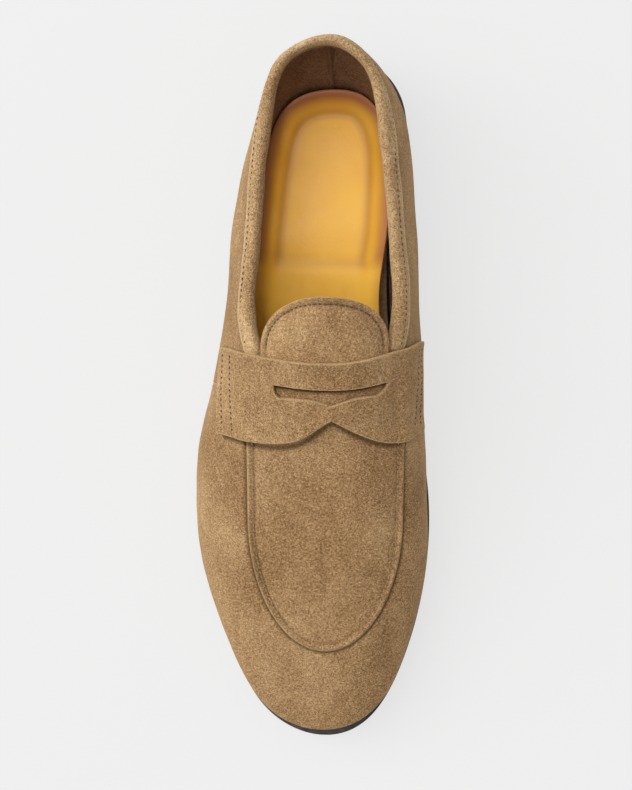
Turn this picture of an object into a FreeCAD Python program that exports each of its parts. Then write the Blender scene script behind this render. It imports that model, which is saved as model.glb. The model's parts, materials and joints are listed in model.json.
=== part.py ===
import FreeCAD, Part
import math
import os
import Sketcher
from FreeCAD import Placement, Rotation, Vector

# A right-foot penny loafer as an assembly of the pieces a shoemaker cuts, lasts and stitches.
#
# Millimetres. The toe points along -Y, the inner side of the foot is +X and up is +Z. The origin is on the ground
# under the centre of the heel. Every layer of the upper is measured from one surface, the outside of the lasted shoe.

doc = FreeCAD.newDocument("PennyLoafer")

# ---------------------------------------------------------------------------------------------- driving dimensions
SIZES = {
    "shoe_length": (298.0, "toe edge of the sole to the back of the heel"),
    "heel_lift_thick": (4.7, "each leather lift of the heel"),
    "top_piece_thick": (5.6, "rubber piece that meets the ground"),
    "heel_radius": (30.2, "back of the heel in plan"),
    "heel_front": (38.0, "centre of the heel to its front corners"),
    "breast_hollow": (4.0, "depth of the curve in the heel's front face"),
    "edge_break": (0.6, "chamfer on the heel's ground edge"),
    "sole_thick": (4.5, "outsole"),
    "toe_spring": (9.0, "rise of the sole at the toe"),
    "tread_front": (175.0, "front end of the flat tread, from the heel centre"),
    "tread_back": (128.0, "back end of the flat tread, from the heel centre"),
    "suede": (1.4, "upper leather"),
    "lining": (0.9, "lining leather"),
    "stiffener": (0.6, "toe puff and heel counter"),
    "layer_gap": (0.1, "cement line between two layers"),
    "stiffener_fit": (0.25, "room on each side of a stiffener"),
    "seat_gap": (0.2, "cement line between the upper and the sole, and between the upper and the insole"),
    "seam_gap": (0.35, "gap between the edges of two pieces that are sewn together"),
    "lasting_margin": (9.0, "leather turned in under the insole"),
    "insole_thick": (2.2, "insole board"),
    "footbed_foam": (2.6, "cushion under the footbed cover"),
    "footbed_skin": (1.2, "leather cover of the footbed"),
    "cup_rise": (6.5, "height of the footbed's rim round the heel"),
    "shank_width": (14.0, "steel shank"),
    "shank_length": (104.0, "steel shank"),
    "shank_thick": (1.4, "steel shank"),
    "nail_radius": (0.9, "heel nail shank"),
    "nail_head": (1.7, "heel nail head radius"),
    "nail_length": (17.5, "heel nail, tip to head"),
    "nail_circle": (22.5, "heel nails, from the centre of the heel"),
    "nail_fit": (0.05, "clearance round a nail"),
    "collar_wide": (7.0, "collar roll, measured down the wall"),
    "collar_deep": (4.6, "collar roll, measured through the wall"),
    "collar_skin": (1.1, "leather of the collar roll"),
    "apron_half": (32.2, "half width of the apron"),
    "apron_bow": (56.3, "length of the round front of the apron"),
    "tongue_root": (21.9, "half width of the tongue where it bends"),
    "tongue_half": (24.2, "half width of the tongue"),
    "strap_end_outer": (50.0, "height above the ground of the strap's end on the outer side"),
    "strap_end_inner": (41.0, "height above the ground of the strap's end on the inner side"),
    "thread": (0.32, "radius of a stitch"),
    "stitch_pitch": (3.3, "one stitch to the next"),
}

sheet = doc.addObject("Spreadsheet::Sheet", "dims")
for row, (alias, (value, note)) in enumerate(SIZES.items(), start=1):
    sheet.set("A%d" % row, note)
    sheet.set("B%d" % row, "%g" % value)
    sheet.setAlias("B%d" % row, alias)
doc.recompute()


def size(alias):
    """The value in the sheet."""
    return float(sheet.get(alias))


BASE_LENGTH = 298.0
GRADE = size("shoe_length") / BASE_LENGTH
SOLE = size("sole_thick")
SUEDE = size("suede")
GAP = size("layer_gap")
HEEL_RISE = 2 * size("heel_lift_thick") + size("top_piece_thick")
LINING_DEPTH = SUEDE + size("stiffener") + 2 * size("stiffener_fit")
LASTED = LINING_DEPTH + size("lining") + GAP
BOARD_BASE = LASTED + 2 * size("seat_gap")

# Plan stations round the shoe, clockwise from the back of the heel: the widest line of the upper (x, y, roundness of
# the section above it) and the edge of the sole (x, y). Both lists run through the same places.
WIDEST = (
    (-0.5, 30.6, 1.68), (-22.3, 20.0, 1.7), (-32.0, -2.0, 1.51), (-38.6, -28.0, 1.27), (-42.9, -60.0, 1.3),
    (-45.9, -94.0, 1.96), (-53.0, -128.0, 2.2), (-56.6, -160.0, 2.2), (-52.8, -194.0, 2.25), (-41.0, -226.5, 2.3),
    (-24.4, -253.4, 2.3), (0.0, -263.4, 2.3), (23.0, -253.8, 2.3), (36.8, -226.5, 2.3), (43.8, -194.0, 2.4),
    (43.8, -160.0, 2.5), (41.6, -128.0, 2.7), (39.3, -94.0, 2.7), (37.3, -60.0, 1.65), (34.9, -28.0, 1.42),
    (30.4, 0.0, 1.56), (18.9, 19.6, 1.94),
)
SOLE_EDGE = (
    (-0.5, 30.8), (-21.3, 20.6), (-30.6, -1.0), (-33.0, -28.0), (-36.0, -60.0), (-41.0, -94.0), (-49.0, -128.0),
    (-53.0, -160.0), (-50.5, -194.0), (-41.6, -228.0), (-25.2, -256.2), (0.0, -267.2), (22.6, -257.2),
    (36.9, -228.0), (43.9, -194.0), (44.0, -160.0), (38.0, -128.0), (31.0, -94.0), (29.0, -60.0), (29.3, -28.0),
    (29.6, 0.0), (20.0, 20.8),
)
STATIONS = len(WIDEST)
TOE = 11
# Height of the ridge of the shoe above the ground, and of the edge of the foot opening, by distance from the heel.
RIDGE = ((-272, 21), (-250, 31), (-226, 38.5), (-194, 46.5), (-160, 56), (-128, 68), (-104, 79), (-80, 91),
         (-55, 101), (-20, 110), (42, 115))
TOPLINE = ((-125, 76), (-100, 73), (-75, 67.5), (-50, 65), (-25, 69), (0, 76), (20, 80.5), (40, 81.5))
# Height of the widest line above the sole.
BELLY = ((-272, 7), (-226, 9.5), (-160, 13), (-94, 14), (-28, 16), (42, 17))
TOE_POLE, HEEL_POLE, POLE_SOFTNESS = -160.0, -4.0, 14.0
SPINE_SHIFT, SPINE_START, SPINE_RUN = 3.0, -10.0, 90.0


def closed_curve(points):
    """Smooth closed curve, one unit of its parameter per station."""
    curve = Part.BSplineCurve()
    curve.interpolate(
        Points=[Vector(p[0] * GRADE, p[1] * GRADE, p[2] if len(p) > 2 else 0.0) for p in points],
        PeriodicFlag=True,
        Parameters=[float(i) for i in range(len(points) + 1)],
    )
    return lambda t: curve.value(t % len(points))


def height_curve(points):
    """Smooth height as a function of y."""
    ys = [p[0] * GRADE for p in points]
    curve = Part.BSplineCurve()
    curve.interpolate(Points=[Vector(y, p[1], 0) for y, p in zip(ys, points)], Parameters=ys)
    return lambda y: curve.value(min(max(y, ys[0]), ys[-1])).y


widest = closed_curve(WIDEST)
sole_edge = closed_curve(SOLE_EDGE)
ridge_z = height_curve(RIDGE)
topline_z = height_curve(TOPLINE)
belly_z = height_curve(BELLY)


def ease(u):
    """0 to 1 with level ends."""
    u = min(max(u, 0.0), 1.0)
    return u * u * (3 - 2 * u)


def sole_under(y):
    """Height of the underside of the sole: level under the heel, down to the tread, up at the toe."""
    waist = HEEL_RISE * ease((y + size("tread_back")) / (size("tread_back") - size("heel_front")))
    toe = min(max((-size("tread_front") - y) / (268.0 - size("tread_front")), 0.0), 1.2)
    return waist + size("toe_spring") * toe * toe


def sole_top(y):
    return sole_under(y) + SOLE


def spine(y):
    """Point on the middle line in plan for a place on the outline; the ends of the line are the two poles."""
    def soft(v):
        return POLE_SOFTNESS * math.log1p(math.exp(min(v / POLE_SOFTNESS, 40.0)))

    along = HEEL_POLE - soft(HEEL_POLE - (TOE_POLE + soft(y - TOE_POLE)))
    return Vector(SPINE_SHIFT * ease((SPINE_START - along) / SPINE_RUN), along, 0)


def outside(t, angle):
    """The outside of the upper above its widest line: angle 0 is the widest line, pi/2 the ridge."""
    out = widest(t)
    middle = spine(out.y)
    rho = max(math.cos(angle), 0.0) ** (2 / out.z)
    rise = max(math.sin(angle), 0.0) ** (2 / out.z)
    point = middle + (Vector(out.x, out.y, 0) - middle) * rho
    base = sole_top(out.y) + belly_z(out.y)
    point.z = base + (ridge_z(point.y) - base) * rise
    return point


def outward(t, angle):
    """Unit normal of that surface."""
    step = 0.004
    low, high = max(angle - step, 0.0005), min(max(angle, 0.0) + step, math.pi / 2 - 0.001)
    across = outside(t + 0.02, angle) - outside(t - 0.02, angle)
    up = outside(t, high) - outside(t, low)
    normal = across.cross(up)
    normal.normalize()
    centre = spine(widest(t).y)
    here = outside(t, angle)
    if normal.dot(Vector(here.x - centre.x, here.y - centre.y, 20.0)) < 0:
        normal = normal * -1
    return normal


def feather_inset(y):
    """How far inside the edge of the sole the upper turns under."""
    return 1.4 + 3.8 * ease((-y - 130) / 60)


def level_normal(t):
    """Level unit vector from the outline into the shoe."""
    along = widest(t + 0.02) - widest(t - 0.02)
    normal = Vector(-along.y, along.x, 0)
    normal.normalize()
    middle = spine(widest(t).y)
    return normal if normal.dot(middle - widest(t)) > 0 else normal * -1


def profile(t, depth, top):
    """Section of a layer at station t and at a depth inside the outside surface, from the lasting margin up to the
    angle top."""
    inward = level_normal(t)
    out = widest(t)
    edge = sole_edge(t)
    foot = Vector(edge.x, edge.y, 0) + inward * (feather_inset(edge.y) + depth)
    belly = Vector(out.x, out.y, 0) + inward * depth
    base = sole_top(out.y) + belly_z(out.y)
    points = []
    for step in (1.0, 0.66, 0.33):
        p = foot + inward * (size("lasting_margin") - depth) * step
        p.z = sole_top(p.y) + size("seat_gap") + depth
        points.append(p)
    for degrees in range(0, 90, 9):
        a = math.radians(degrees)
        p = foot + (belly - foot) * math.sin(a)
        low = sole_top(p.y) + size("seat_gap") + depth
        p.z = low + (base - low) * (1 - math.cos(a))
        points.append(p)
    belly.z = base
    points.append(belly)
    steps = 26
    for i in range(1, steps + 1):
        angle = top * i / steps
        points.append(outside(t, angle) - outward(t, angle) * depth)
    return points


def evenly(points, count, start=0.0, end=1.0, power=1.0):
    """count points along a polyline, between two shares of its length; with a power above 1 they are closer together
    near its start."""
    run = [0.0]
    for a, b in zip(points, points[1:]):
        run.append(run[-1] + (b - a).Length)
    result, k = [], 0
    for i in range(count):
        want = run[-1] * (start + (end - start) * (i / (count - 1)) ** power)
        while k < len(run) - 2 and run[k + 1] < want:
            k += 1
        share = (want - run[k]) / max(run[k + 1] - run[k], 1e-9)
        result.append(points[k] + (points[k + 1] - points[k]) * share)
    return result


def span(first, last, count):
    return [first + (last - first) * i / (count - 1) for i in range(count)]


def bisect(f, low, high, turns=40):
    """Where f goes from one sign to the other."""
    sign = f(low) > 0
    for _ in range(turns):
        middle = (low + high) / 2
        if (f(middle) > 0) == sign:
            low = middle
        else:
            high = middle
    return (low + high) / 2


def at_height(t, z):
    """Angle at which the section reaches a height, a number or a function of y."""
    level = z if callable(z) else (lambda y: z)

    def above(angle):
        p = outside(t, angle)
        return p.z - level(p.y)

    return bisect(above, 0.0, math.pi / 2)


def side_station(y, inner):
    """Station where the outline passes y on the inner or the outer side."""
    low, high = (STATIONS - 1.0, TOE) if inner else (1.0, TOE)
    return bisect(lambda t: widest(t).y - y, low, high)


# ------------------------------------------------------------------------------------------------- solid builders
SAME_WAY = 1  # the two edges of a ruled surface run in the same direction


def closed_solid(faces):
    """Solid inside a closed set of faces."""
    shell = Part.makeShell(faces)
    shell.sewShape()
    solid = Part.makeSolid(shell)
    if solid.Volume < 0:
        shell.reverse()
        solid = Part.makeSolid(shell)
    return solid


def solid_between(outer, inner):
    """Solid between two grids of points with the same corners."""
    faces, edges = [], []
    for grid in (outer, inner):
        surface = Part.BSplineSurface()
        surface.interpolate(grid)
        u0, u1, v0, v1 = surface.bounds()
        faces.append(surface.toShape())
        edges.append([c.toShape() for c in (surface.uIso(u0), surface.uIso(u1), surface.vIso(v0), surface.vIso(v1))])
    for a, b in zip(*edges):
        faces.append(Part.makeRuledSurface(a, b, SAME_WAY))
    return closed_solid(faces)


def layer(stations, depth, thick, top):
    """A lasted layer: stations round the shoe, from the lasting margin up to the angle top(t)."""
    rows, fold_power = 22, 1.5

    def grid(d):
        return [evenly(profile(t, d, top(t)), rows, power=fold_power) for t in stations]

    return solid_between(grid(depth), grid(depth + thick))


def surface_z(x, y):
    """Height of the outside surface over a plan point."""
    point = Vector(x, y, 0)
    inner = x > spine(y).x

    def side(t):
        out = widest(t)
        middle = spine(out.y)
        ray = Vector(out.x, out.y, 0) - middle
        return ray.x * (y - middle.y) - ray.y * (x - middle.x)

    t = bisect(side, STATIONS - 1.5 if inner else 1.5, TOE)
    out = widest(t)
    middle = spine(out.y)
    rho = min((point - middle).Length / (Vector(out.x, out.y, 0) - middle).Length, 0.999)
    angle = math.acos(rho ** (out.z / 2))
    return outside(t, min(angle, math.pi / 2 - 0.002)).z


def lift_point(x, y, offset):
    """Point at a distance outside the surface, over a plan point of the surface."""
    step = 0.6
    z = surface_z(x, y)
    slope_x = (surface_z(x + step, y) - surface_z(x - step, y)) / (2 * step)
    slope_y = (surface_z(x, y + step) - surface_z(x, y - step)) / (2 * step)
    normal = Vector(-slope_x, -slope_y, 1.0)
    normal.normalize()
    return Vector(x, y, z) + normal * offset


def sheet_over(rows, low, high):
    """Solid sheet over a grid of plan points, between two offsets from the outside surface."""
    return solid_between(
        [[lift_point(x, y, high) for x, y in row] for row in rows],
        [[lift_point(x, y, low) for x, y in row] for row in rows],
    )


# -------------------------------------------------------------------------------------------- document objects
def feature(name, shape):
    """A piece whose shape is set with Part's own functions."""
    obj = doc.addObject("Part::Feature", name)
    obj.Shape = shape
    return obj


def sketch(name, edges, placement=None):
    """A free sketch that holds ready-made curves."""
    obj = doc.addObject("Sketcher::SketchObject", name)
    for edge in edges:
        obj.addGeometry(edge, False)
    if placement:
        obj.Placement = placement
    return obj


def prism(name, base, length):
    """Extrusion of a closed sketch along its normal, both ways."""
    obj = doc.addObject("Part::Extrusion", name)
    obj.Base = base
    obj.DirMode = "Normal"
    obj.Solid = True
    obj.Symmetric = True
    obj.LengthFwd = length
    return obj


def common(name, first, second):
    obj = doc.addObject("Part::Common", name)
    obj.Base, obj.Tool = first, second
    return obj


def cut(name, base, tool):
    obj = doc.addObject("Part::Cut", name)
    obj.Base, obj.Tool = base, tool
    return obj


def loop(points):
    """Closed smooth curve in a sketch plane."""
    curve = Part.BSplineCurve()
    curve.interpolate(Points=[Vector(x, y, 0) for x, y in points], PeriodicFlag=True)
    return curve


def through(points):
    curve = Part.BSplineCurve()
    curve.interpolate(Points=[Vector(x, y, 0) for x, y in points])
    return curve


def line(a, b):
    return Part.LineSegment(Vector(a[0], a[1], 0), Vector(b[0], b[1], 0))


SIDE_VIEW = Placement(Vector(0, 0, 0), Rotation(Vector(0, 1, 0), Vector(0, 0, 1), Vector(1, 0, 0), "XYZ"))
BAND_WIDTH = 160.0
PLAN_HEIGHT = 260.0


def sole_band(name, low, high):
    """Everything between two heights above the underside of the sole, as wide as the shoe."""
    ends = (-275.0 * GRADE, -size("tread_front"), -size("tread_back"), -size("heel_front"), 42.0 * GRADE)

    def run(rise, backwards):
        def at(y):
            return (y, sole_under(y) + rise)

        pieces = [
            through([at(y) for y in span(ends[0], ends[1], 7)]),
            line(at(ends[1]), at(ends[2])),
            through([at(y) for y in span(ends[2], ends[3], 9)]),
            line(at(ends[3]), at(ends[4])),
        ]
        return pieces[::-1] if backwards else pieces

    def corner(y, rise):
        return (y, sole_under(y) + rise)

    edges = run(low, False) + [line(corner(ends[4], low), corner(ends[4], high))]
    edges += run(high, True) + [line(corner(ends[0], high), corner(ends[0], low))]
    profile_sketch = sketch(name + "_section", edges, SIDE_VIEW)
    return prism(name + "_band", profile_sketch, BAND_WIDTH)


def inset_outline(inset, count=44):
    """Plan outline at a distance inside the edge of the sole. inset may depend on y."""
    points = []
    for i in range(count):
        t = STATIONS * i / count
        edge, along = sole_edge(t), sole_edge(t + 0.02) - sole_edge(t - 0.02)
        inward = Vector(-along.y, along.x, 0)
        inward.normalize()
        if inward.dot(spine(edge.y) - edge) < 0:
            inward = inward * -1
        p = edge + inward * (inset(edge.y) if callable(inset) else inset)
        points.append((p.x, p.y))
    return points


def sole_piece(name, outline, low, high):
    """A piece of the bottom: a plan outline between two heights above the underside of the sole."""
    plan = prism(name + "_plan", sketch(name + "_outline", [loop(outline)]), PLAN_HEIGHT)
    return common(name, plan, sole_band(name, low, high))


pieces = {}


def keep(node, obj):
    obj.Label = node
    pieces[node] = obj
    return obj


# ------------------------------------------------------------------------------------------------------- the heel
NAIL_ANGLES = (18, 54, 90, 126, 162)


def origin_plane(body, role):
    return next(f for f in body.Origin.OriginFeatures if f.Role == role)


def heel_outline(plan):
    """Back arc, two sides and a hollow front, with the radius of the arc bound to the sheet."""
    r, front, hollow = size("heel_radius"), size("heel_front"), size("breast_hollow")
    left, right = Vector(-r - 2.6, -front, 0), Vector(r - 0.8, -front, 0)
    back = Part.ArcOfCircle(Part.Circle(Vector(0, 0, 0), Vector(0, 0, 1), r), 0, math.pi)
    arc = plan.addGeometry(back, False)
    side_l = plan.addGeometry(Part.LineSegment(Vector(-r, 0, 0), left), False)
    plan.addGeometry(Part.Arc(left, Vector(0, -front + hollow, 0), right), False)
    side_r = plan.addGeometry(Part.LineSegment(right, Vector(r, 0, 0)), False)
    for c in (
        Sketcher.Constraint("Coincident", arc, 2, side_l, 1),
        Sketcher.Constraint("Coincident", side_r, 2, arc, 1),
        Sketcher.Constraint("Coincident", arc, 3, -1, 1),
        Sketcher.Constraint("PointOnObject", arc, 1, -1),
        Sketcher.Constraint("PointOnObject", arc, 2, -1),
    ):
        plan.addConstraint(c)
    radius = plan.addConstraint(Sketcher.Constraint("Radius", arc, r))
    plan.renameConstraint(radius, "heel_radius")
    plan.setExpression("Constraints.heel_radius", "dims.heel_radius")


def nail_places():
    ring = size("nail_circle")
    return [(ring * math.cos(math.radians(a)), ring * math.sin(math.radians(a))) for a in NAIL_ANGLES]


def heel_layer(node, thick, base, hole_radius):
    """One layer of the heel: pad of the heel outline with the nail holes through it."""
    body = doc.addObject("PartDesign::Body", node)
    plan = body.newObject("Sketcher::SketchObject", node + "_outline")
    plan.AttachmentSupport = [(origin_plane(body, "XY_Plane"), "")]
    plan.MapMode = "FlatFace"
    heel_outline(plan)
    pad = body.newObject("PartDesign::Pad", node + "_pad")
    pad.Profile = plan
    pad.setExpression("Length", thick)
    holes = body.newObject("Sketcher::SketchObject", node + "_nail_holes")
    holes.AttachmentSupport = [(origin_plane(body, "XY_Plane"), "")]
    holes.MapMode = "FlatFace"
    for x, y in nail_places():
        holes.addGeometry(Part.Circle(Vector(x, y, 0), Vector(0, 0, 1), hole_radius), False)
    doc.recompute()
    pocket = body.newObject("PartDesign::Pocket", node + "_holes")
    pocket.Profile = holes
    pocket.Type = 1
    pocket.Reversed = True
    before = pad.Shape.Volume
    doc.recompute()
    if pocket.Shape.Volume >= before:
        pocket.Reversed = False
        doc.recompute()
    body.setExpression("Placement.Base.z", base)
    return keep(node, body)


def build_heel():
    fit = size("nail_fit")
    top = heel_layer("heel_top_piece", "dims.top_piece_thick", "0", size("nail_head") + fit)
    heel_layer("heel_lift_lower", "dims.heel_lift_thick", "dims.top_piece_thick", size("nail_radius") + fit)
    heel_layer(
        "heel_lift_upper", "dims.heel_lift_thick", "dims.top_piece_thick + dims.heel_lift_thick",
        size("nail_radius") + fit,
    )
    doc.recompute()
    ground = [
        "Edge%d" % (i + 1)
        for i, e in enumerate(top.Tip.Shape.Edges)
        if max(abs(v.Z) for v in e.Vertexes) < 1e-6 and e.Length > 4 * size("nail_head") * math.pi
    ]
    broken = top.newObject("PartDesign::Chamfer", "heel_top_piece_break")
    broken.Base = (top.getObject("heel_top_piece_holes") or doc.getObject("heel_top_piece_holes"), ground)
    broken.setExpression("Size", "dims.edge_break")


def build_nails():
    """Five nails through the heel into the sole, with their heads sunk in the rubber."""
    head_low, head_high = 0.5, size("top_piece_thick") - 0.6
    nails = []
    for i, (x, y) in enumerate(nail_places()):
        head = doc.addObject("Part::Cylinder", "nail_head_%d" % i)
        head.setExpression("Radius", "dims.nail_head")
        head.Height = head_high - head_low
        head.Placement.Base = Vector(x, y, head_low)
        shank = doc.addObject("Part::Cone", "nail_shank_%d" % i)
        shank.setExpression("Radius1", "dims.nail_radius")
        shank.setExpression("Radius2", "dims.nail_radius * 0.35")
        shank.setExpression("Height", "dims.nail_length - %g" % (head_high - head_low))
        shank.Placement.Base = Vector(x, y, head_high)
        nail = doc.addObject("Part::Fuse", "nail_%d" % i)
        nail.Base, nail.Tool = head, shank
        nails.append(nail)
    group = doc.addObject("Part::Compound", "heel_nails")
    group.Links = nails
    return keep("heel_nails", group)


# ------------------------------------------------------------------------------------------------ the flat bottom
def build_bottom(nails):
    raw = sole_piece("outsole_blank", inset_outline(0.0), 0.0, SOLE)
    keep("outsole", cut("outsole", raw, nail_clearance()))

    middle = size("heel_front") + 26.0
    half_w, half_l = size("shank_width") / 2, size("shank_length") / 2
    rest = BOARD_BASE - 0.3

    def slot(extra):
        w, low, high = half_w + extra, -middle - half_l - extra, -middle + half_l + extra
        return [
            line((-w, low + w), (-w, high - w)),
            Part.ArcOfCircle(Part.Circle(Vector(0, high - w, 0), Vector(0, 0, 1), w), 0, math.pi),
            line((w, high - w), (w, low + w)),
            Part.ArcOfCircle(Part.Circle(Vector(0, low + w, 0), Vector(0, 0, 1), w), math.pi, 2 * math.pi),
        ]

    def shank_shape(name, extra, low, high):
        plan = prism(name + "_plan", sketch(name + "_outline", slot(extra)), PLAN_HEIGHT)
        return common(name, plan, sole_band(name, low, high))

    seat, side_room, face_room = SOLE + 0.9, 0.3, 0.1
    keep("shank", shank_shape("shank", 0.0, seat, seat + size("shank_thick")))
    room = shank_shape("shank_room", side_room, seat - face_room, seat + size("shank_thick") + face_room)
    margin, filler_base = size("lasting_margin") + 2.2, SOLE + 0.05
    filler = sole_piece("filler_blank", inset_outline(lambda y: feather_inset(y) + margin), filler_base, SOLE + rest)
    keep("cork_filler", cut("cork_filler", filler, room))
    board = inset_outline(lambda y: feather_inset(y) + BOARD_BASE + 1.6 * ease((-y - 200) / 45))
    low = SOLE + BOARD_BASE
    keep("insole_board", sole_piece("insole_board", board, low, low + size("insole_thick")))


def nail_clearance():
    """The room that the nails take in the sole."""
    holes = []
    for i, (x, y) in enumerate(nail_places()):
        hole = doc.addObject("Part::Cylinder", "nail_room_%d" % i)
        hole.setExpression("Radius", "dims.nail_radius + dims.nail_fit")
        hole.setExpression("Height", "dims.nail_length + 0.7")
        hole.Placement.Base = Vector(x, y, 0)
        holes.append(hole)
    group = doc.addObject("Part::Compound", "nail_rooms")
    group.Links = holes
    return group


# ----------------------------------------------------------------------------------------------------- the footbed
FOOTBED_EDGE = (
    (1.0, 11.0), (-13.5, 8.2), (-24.0, -3.0), (-28.5, -26.0), (-31.5, -60.0), (-36.0, -94.0), (-42.5, -128.0),
    (-44.0, -160.0), (-40.0, -194.0), (-30.0, -226.0), (-15.0, -243.0), (2.0, -247.0), (18.0, -239.0),
    (29.0, -218.0), (35.0, -188.0), (35.0, -155.0), (29.0, -122.0), (22.5, -94.0), (21.0, -72.0), (23.5, -52.0),
    (24.5, -28.0), (22.5, -6.0), (14.0, 7.5),
)


def footbed_side(y, inner):
    """x of the footbed's edge at y."""
    edge = closed_curve(FOOTBED_EDGE)
    count = len(FOOTBED_EDGE)
    low, high = (count, 11) if inner else (0, 11)
    return edge(bisect(lambda t: edge(t).y - y, low, high)).x


def footbed_z(x, y, rise):
    """The footbed's face: level across the middle, with a rim that turns up round the heel."""
    heel_end, cup_start = 11.0, -8.0
    reach = min(max(y, -240.0), 5.0)
    left, right = footbed_side(reach, False), footbed_side(reach, True)
    across = abs(2 * x - left - right) / (right - left)
    behind = max(0.0, (y - cup_start) / (heel_end - cup_start))
    rim = (across ** 4 + behind ** 4) ** 0.25
    strength = ease((y + 130.0) / 90.0)
    return sole_top(y) + rise + size("cup_rise") * strength * ease((rim - 0.62) / 0.5)


def build_footbed():
    bottom = BOARD_BASE + size("insole_thick") + GAP
    foam = size("footbed_foam")
    skin = size("footbed_skin")
    ys = span(-252.0, 16.0, 26)

    def grid(rise):
        rows = []
        for y in ys:
            reach = min(max(y, -240.0), 5.0)
            left, right = footbed_side(reach, False) - 2, footbed_side(reach, True) + 2
            rows.append([Vector(x, y, footbed_z(x, y, rise)) for x in span(left, right, 15)])
        return rows

    outline = [(p[0], p[1]) for p in FOOTBED_EDGE]
    plan = prism("footbed_plan", sketch("footbed_outline", [loop(outline)]), PLAN_HEIGHT)
    face = feature("footbed_cover_blank", solid_between(grid(bottom + foam + GAP + skin), grid(bottom + foam + GAP)))
    keep("footbed_cover", common("footbed_cover", face, plan))
    flat = [[Vector(p.x, p.y, sole_top(p.y) + bottom) for p in row] for row in grid(bottom)]
    pad = feature("footbed_cushion_blank", solid_between(grid(bottom + foam), flat))
    inner = prism("cushion_plan", sketch("cushion_outline", [loop([
        (x * 0.985, (y + 118) * 0.99 - 118) for x, y in outline])]), PLAN_HEIGHT)
    keep("footbed_cushion", common("footbed_cushion", pad, inner))


# ------------------------------------------------------------------------------------------------------- the upper
APRON_X, APRON_Y = 2.1, -170.0
TONGUE_X, TONGUE_TIP = 2.6, -80.0
SKIRT_END = -115.0
HINGE_Y = -99.8
SHOULDER_Y = -110.0


def seam_angle(t, shift=0.0):
    """Angle at which the section crosses the apron seam; shift moves the seam outwards in plan."""
    half, bow = size("apron_half") + shift, size("apron_bow") + shift

    def inside(angle):
        p = outside(t, angle)
        ahead = max(0.0, APRON_Y - p.y) / bow
        return ((p.x - APRON_X) / half) ** 2 + ahead ** 2 - 1

    return bisect(inside, 0.02, math.pi / 2 - 0.02)


def topline_angle(t, drop=0.0):
    return at_height(t, lambda y: topline_z(y) - drop)


def quarter_top(t, drop, gap):
    """The quarters end below the collar and, under the strap, at the side of the apron."""
    share = ease((-widest(t).y - 99.0) / 7.0)
    if share <= 0:
        return topline_angle(t, drop)
    return topline_angle(t, drop) * (1 - share) + seam_angle(t, gap) * share


LINING_STEP = 0.6  # the linings' edges lie this far back from those of the leather


def build_skirt():
    gap = size("seam_gap") / 2
    lateral, medial = side_station(SKIRT_END, False), side_station(SKIRT_END, True)
    stations = span(lateral + 0.01, medial - 0.01, 44)
    keep("vamp_skirt", feature("vamp_skirt", layer(stations, 0.0, SUEDE, lambda t: seam_angle(t, gap))))
    keep("skirt_lining", feature("skirt_lining", layer(
        stations, LINING_DEPTH, size("lining"), lambda t: seam_angle(t, gap + LINING_STEP))))
    toe, puff_edge = span(TOE - 3.0, TOE + 3.0, 27), 2.5
    keep("toe_puff", feature("toe_puff", layer(
        toe, SUEDE + size("stiffener_fit"), size("stiffener"), lambda t: seam_angle(t, puff_edge))))


def build_quarters():
    # Under the strap the quarters stop short of the apron.
    drop, tuck = size("collar_wide") / 2 + 0.4, 1.3
    lateral, medial = side_station(SKIRT_END, False), side_station(SKIRT_END, True)
    seam = 0.006
    sides = {
        "quarter_lateral": span(seam, lateral - 0.01, 30),
        "quarter_medial": span(medial + 0.01, STATIONS - seam, 30),
    }
    for name, stations in sides.items():
        keep(name, feature(name, layer(stations, 0.0, SUEDE, lambda t: quarter_top(t, drop, tuck))))
        lining = name.replace("quarter", "quarter_lining")
        keep(lining, feature(lining, layer(
            stations, LINING_DEPTH, size("lining"), lambda t: quarter_top(t, drop, tuck + LINING_STEP))))
    keep("heel_counter", feature("heel_counter", layer(
        span(STATIONS - 3.0, STATIONS + 3.0, 31), SUEDE + size("stiffener_fit"), size("stiffener"),
        lambda t: at_height(t, lambda y: sole_top(y) + 18.0 + 22.0 * ease((y + 52) / 45.0)))))


def roll_section(t, wide, deep, count=17):
    """Closed oval across the collar roll at station t: its points, the last one on the first."""
    angle = topline_angle(t)
    normal = outward(t, angle)
    middle = outside(t, angle) - normal * (LASTED / 2)
    up = outside(t, angle + 0.01) - outside(t, angle - 0.01)
    up.normalize()
    turns = [2 * math.pi * i / (count - 1) for i in range(count)]
    return [middle + up * (math.cos(a) * wide / 2) + normal * (math.sin(a) * deep / 2) for a in turns]


def roll_skin(stations, wide, deep):
    """Surface of the roll and its two end loops."""
    surface = Part.BSplineSurface()
    surface.interpolate([roll_section(t, wide, deep) for t in stations])
    u0, u1 = surface.bounds()[:2]
    return surface.toShape(), [surface.uIso(u).toShape() for u in (u0, u1)]


def build_collar():
    """The roll round the foot opening: a leather tube over a foam cord."""
    first, last = side_station(-92.0, True), side_station(-95.5, False) + STATIONS
    stations = span(first, last, 34)
    wide, deep = size("collar_wide"), size("collar_deep")
    skin = 2 * size("collar_skin")
    outer, outer_ends = roll_skin(stations, wide, deep)
    inner, inner_ends = roll_skin(stations, wide - skin, deep - skin)
    rims = [Part.makeRuledSurface(a, b, SAME_WAY) for a, b in zip(outer_ends, inner_ends)]
    keep("collar_roll", feature("collar_roll", closed_solid([outer, inner] + rims)))
    cord, cord_ends = roll_skin(stations, wide - skin - 2 * GAP, deep - skin - 2 * GAP)
    caps = [Part.makeFilledFace([end]) for end in cord_ends]
    keep("collar_cord", feature("collar_cord", closed_solid([cord] + caps)))


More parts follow.
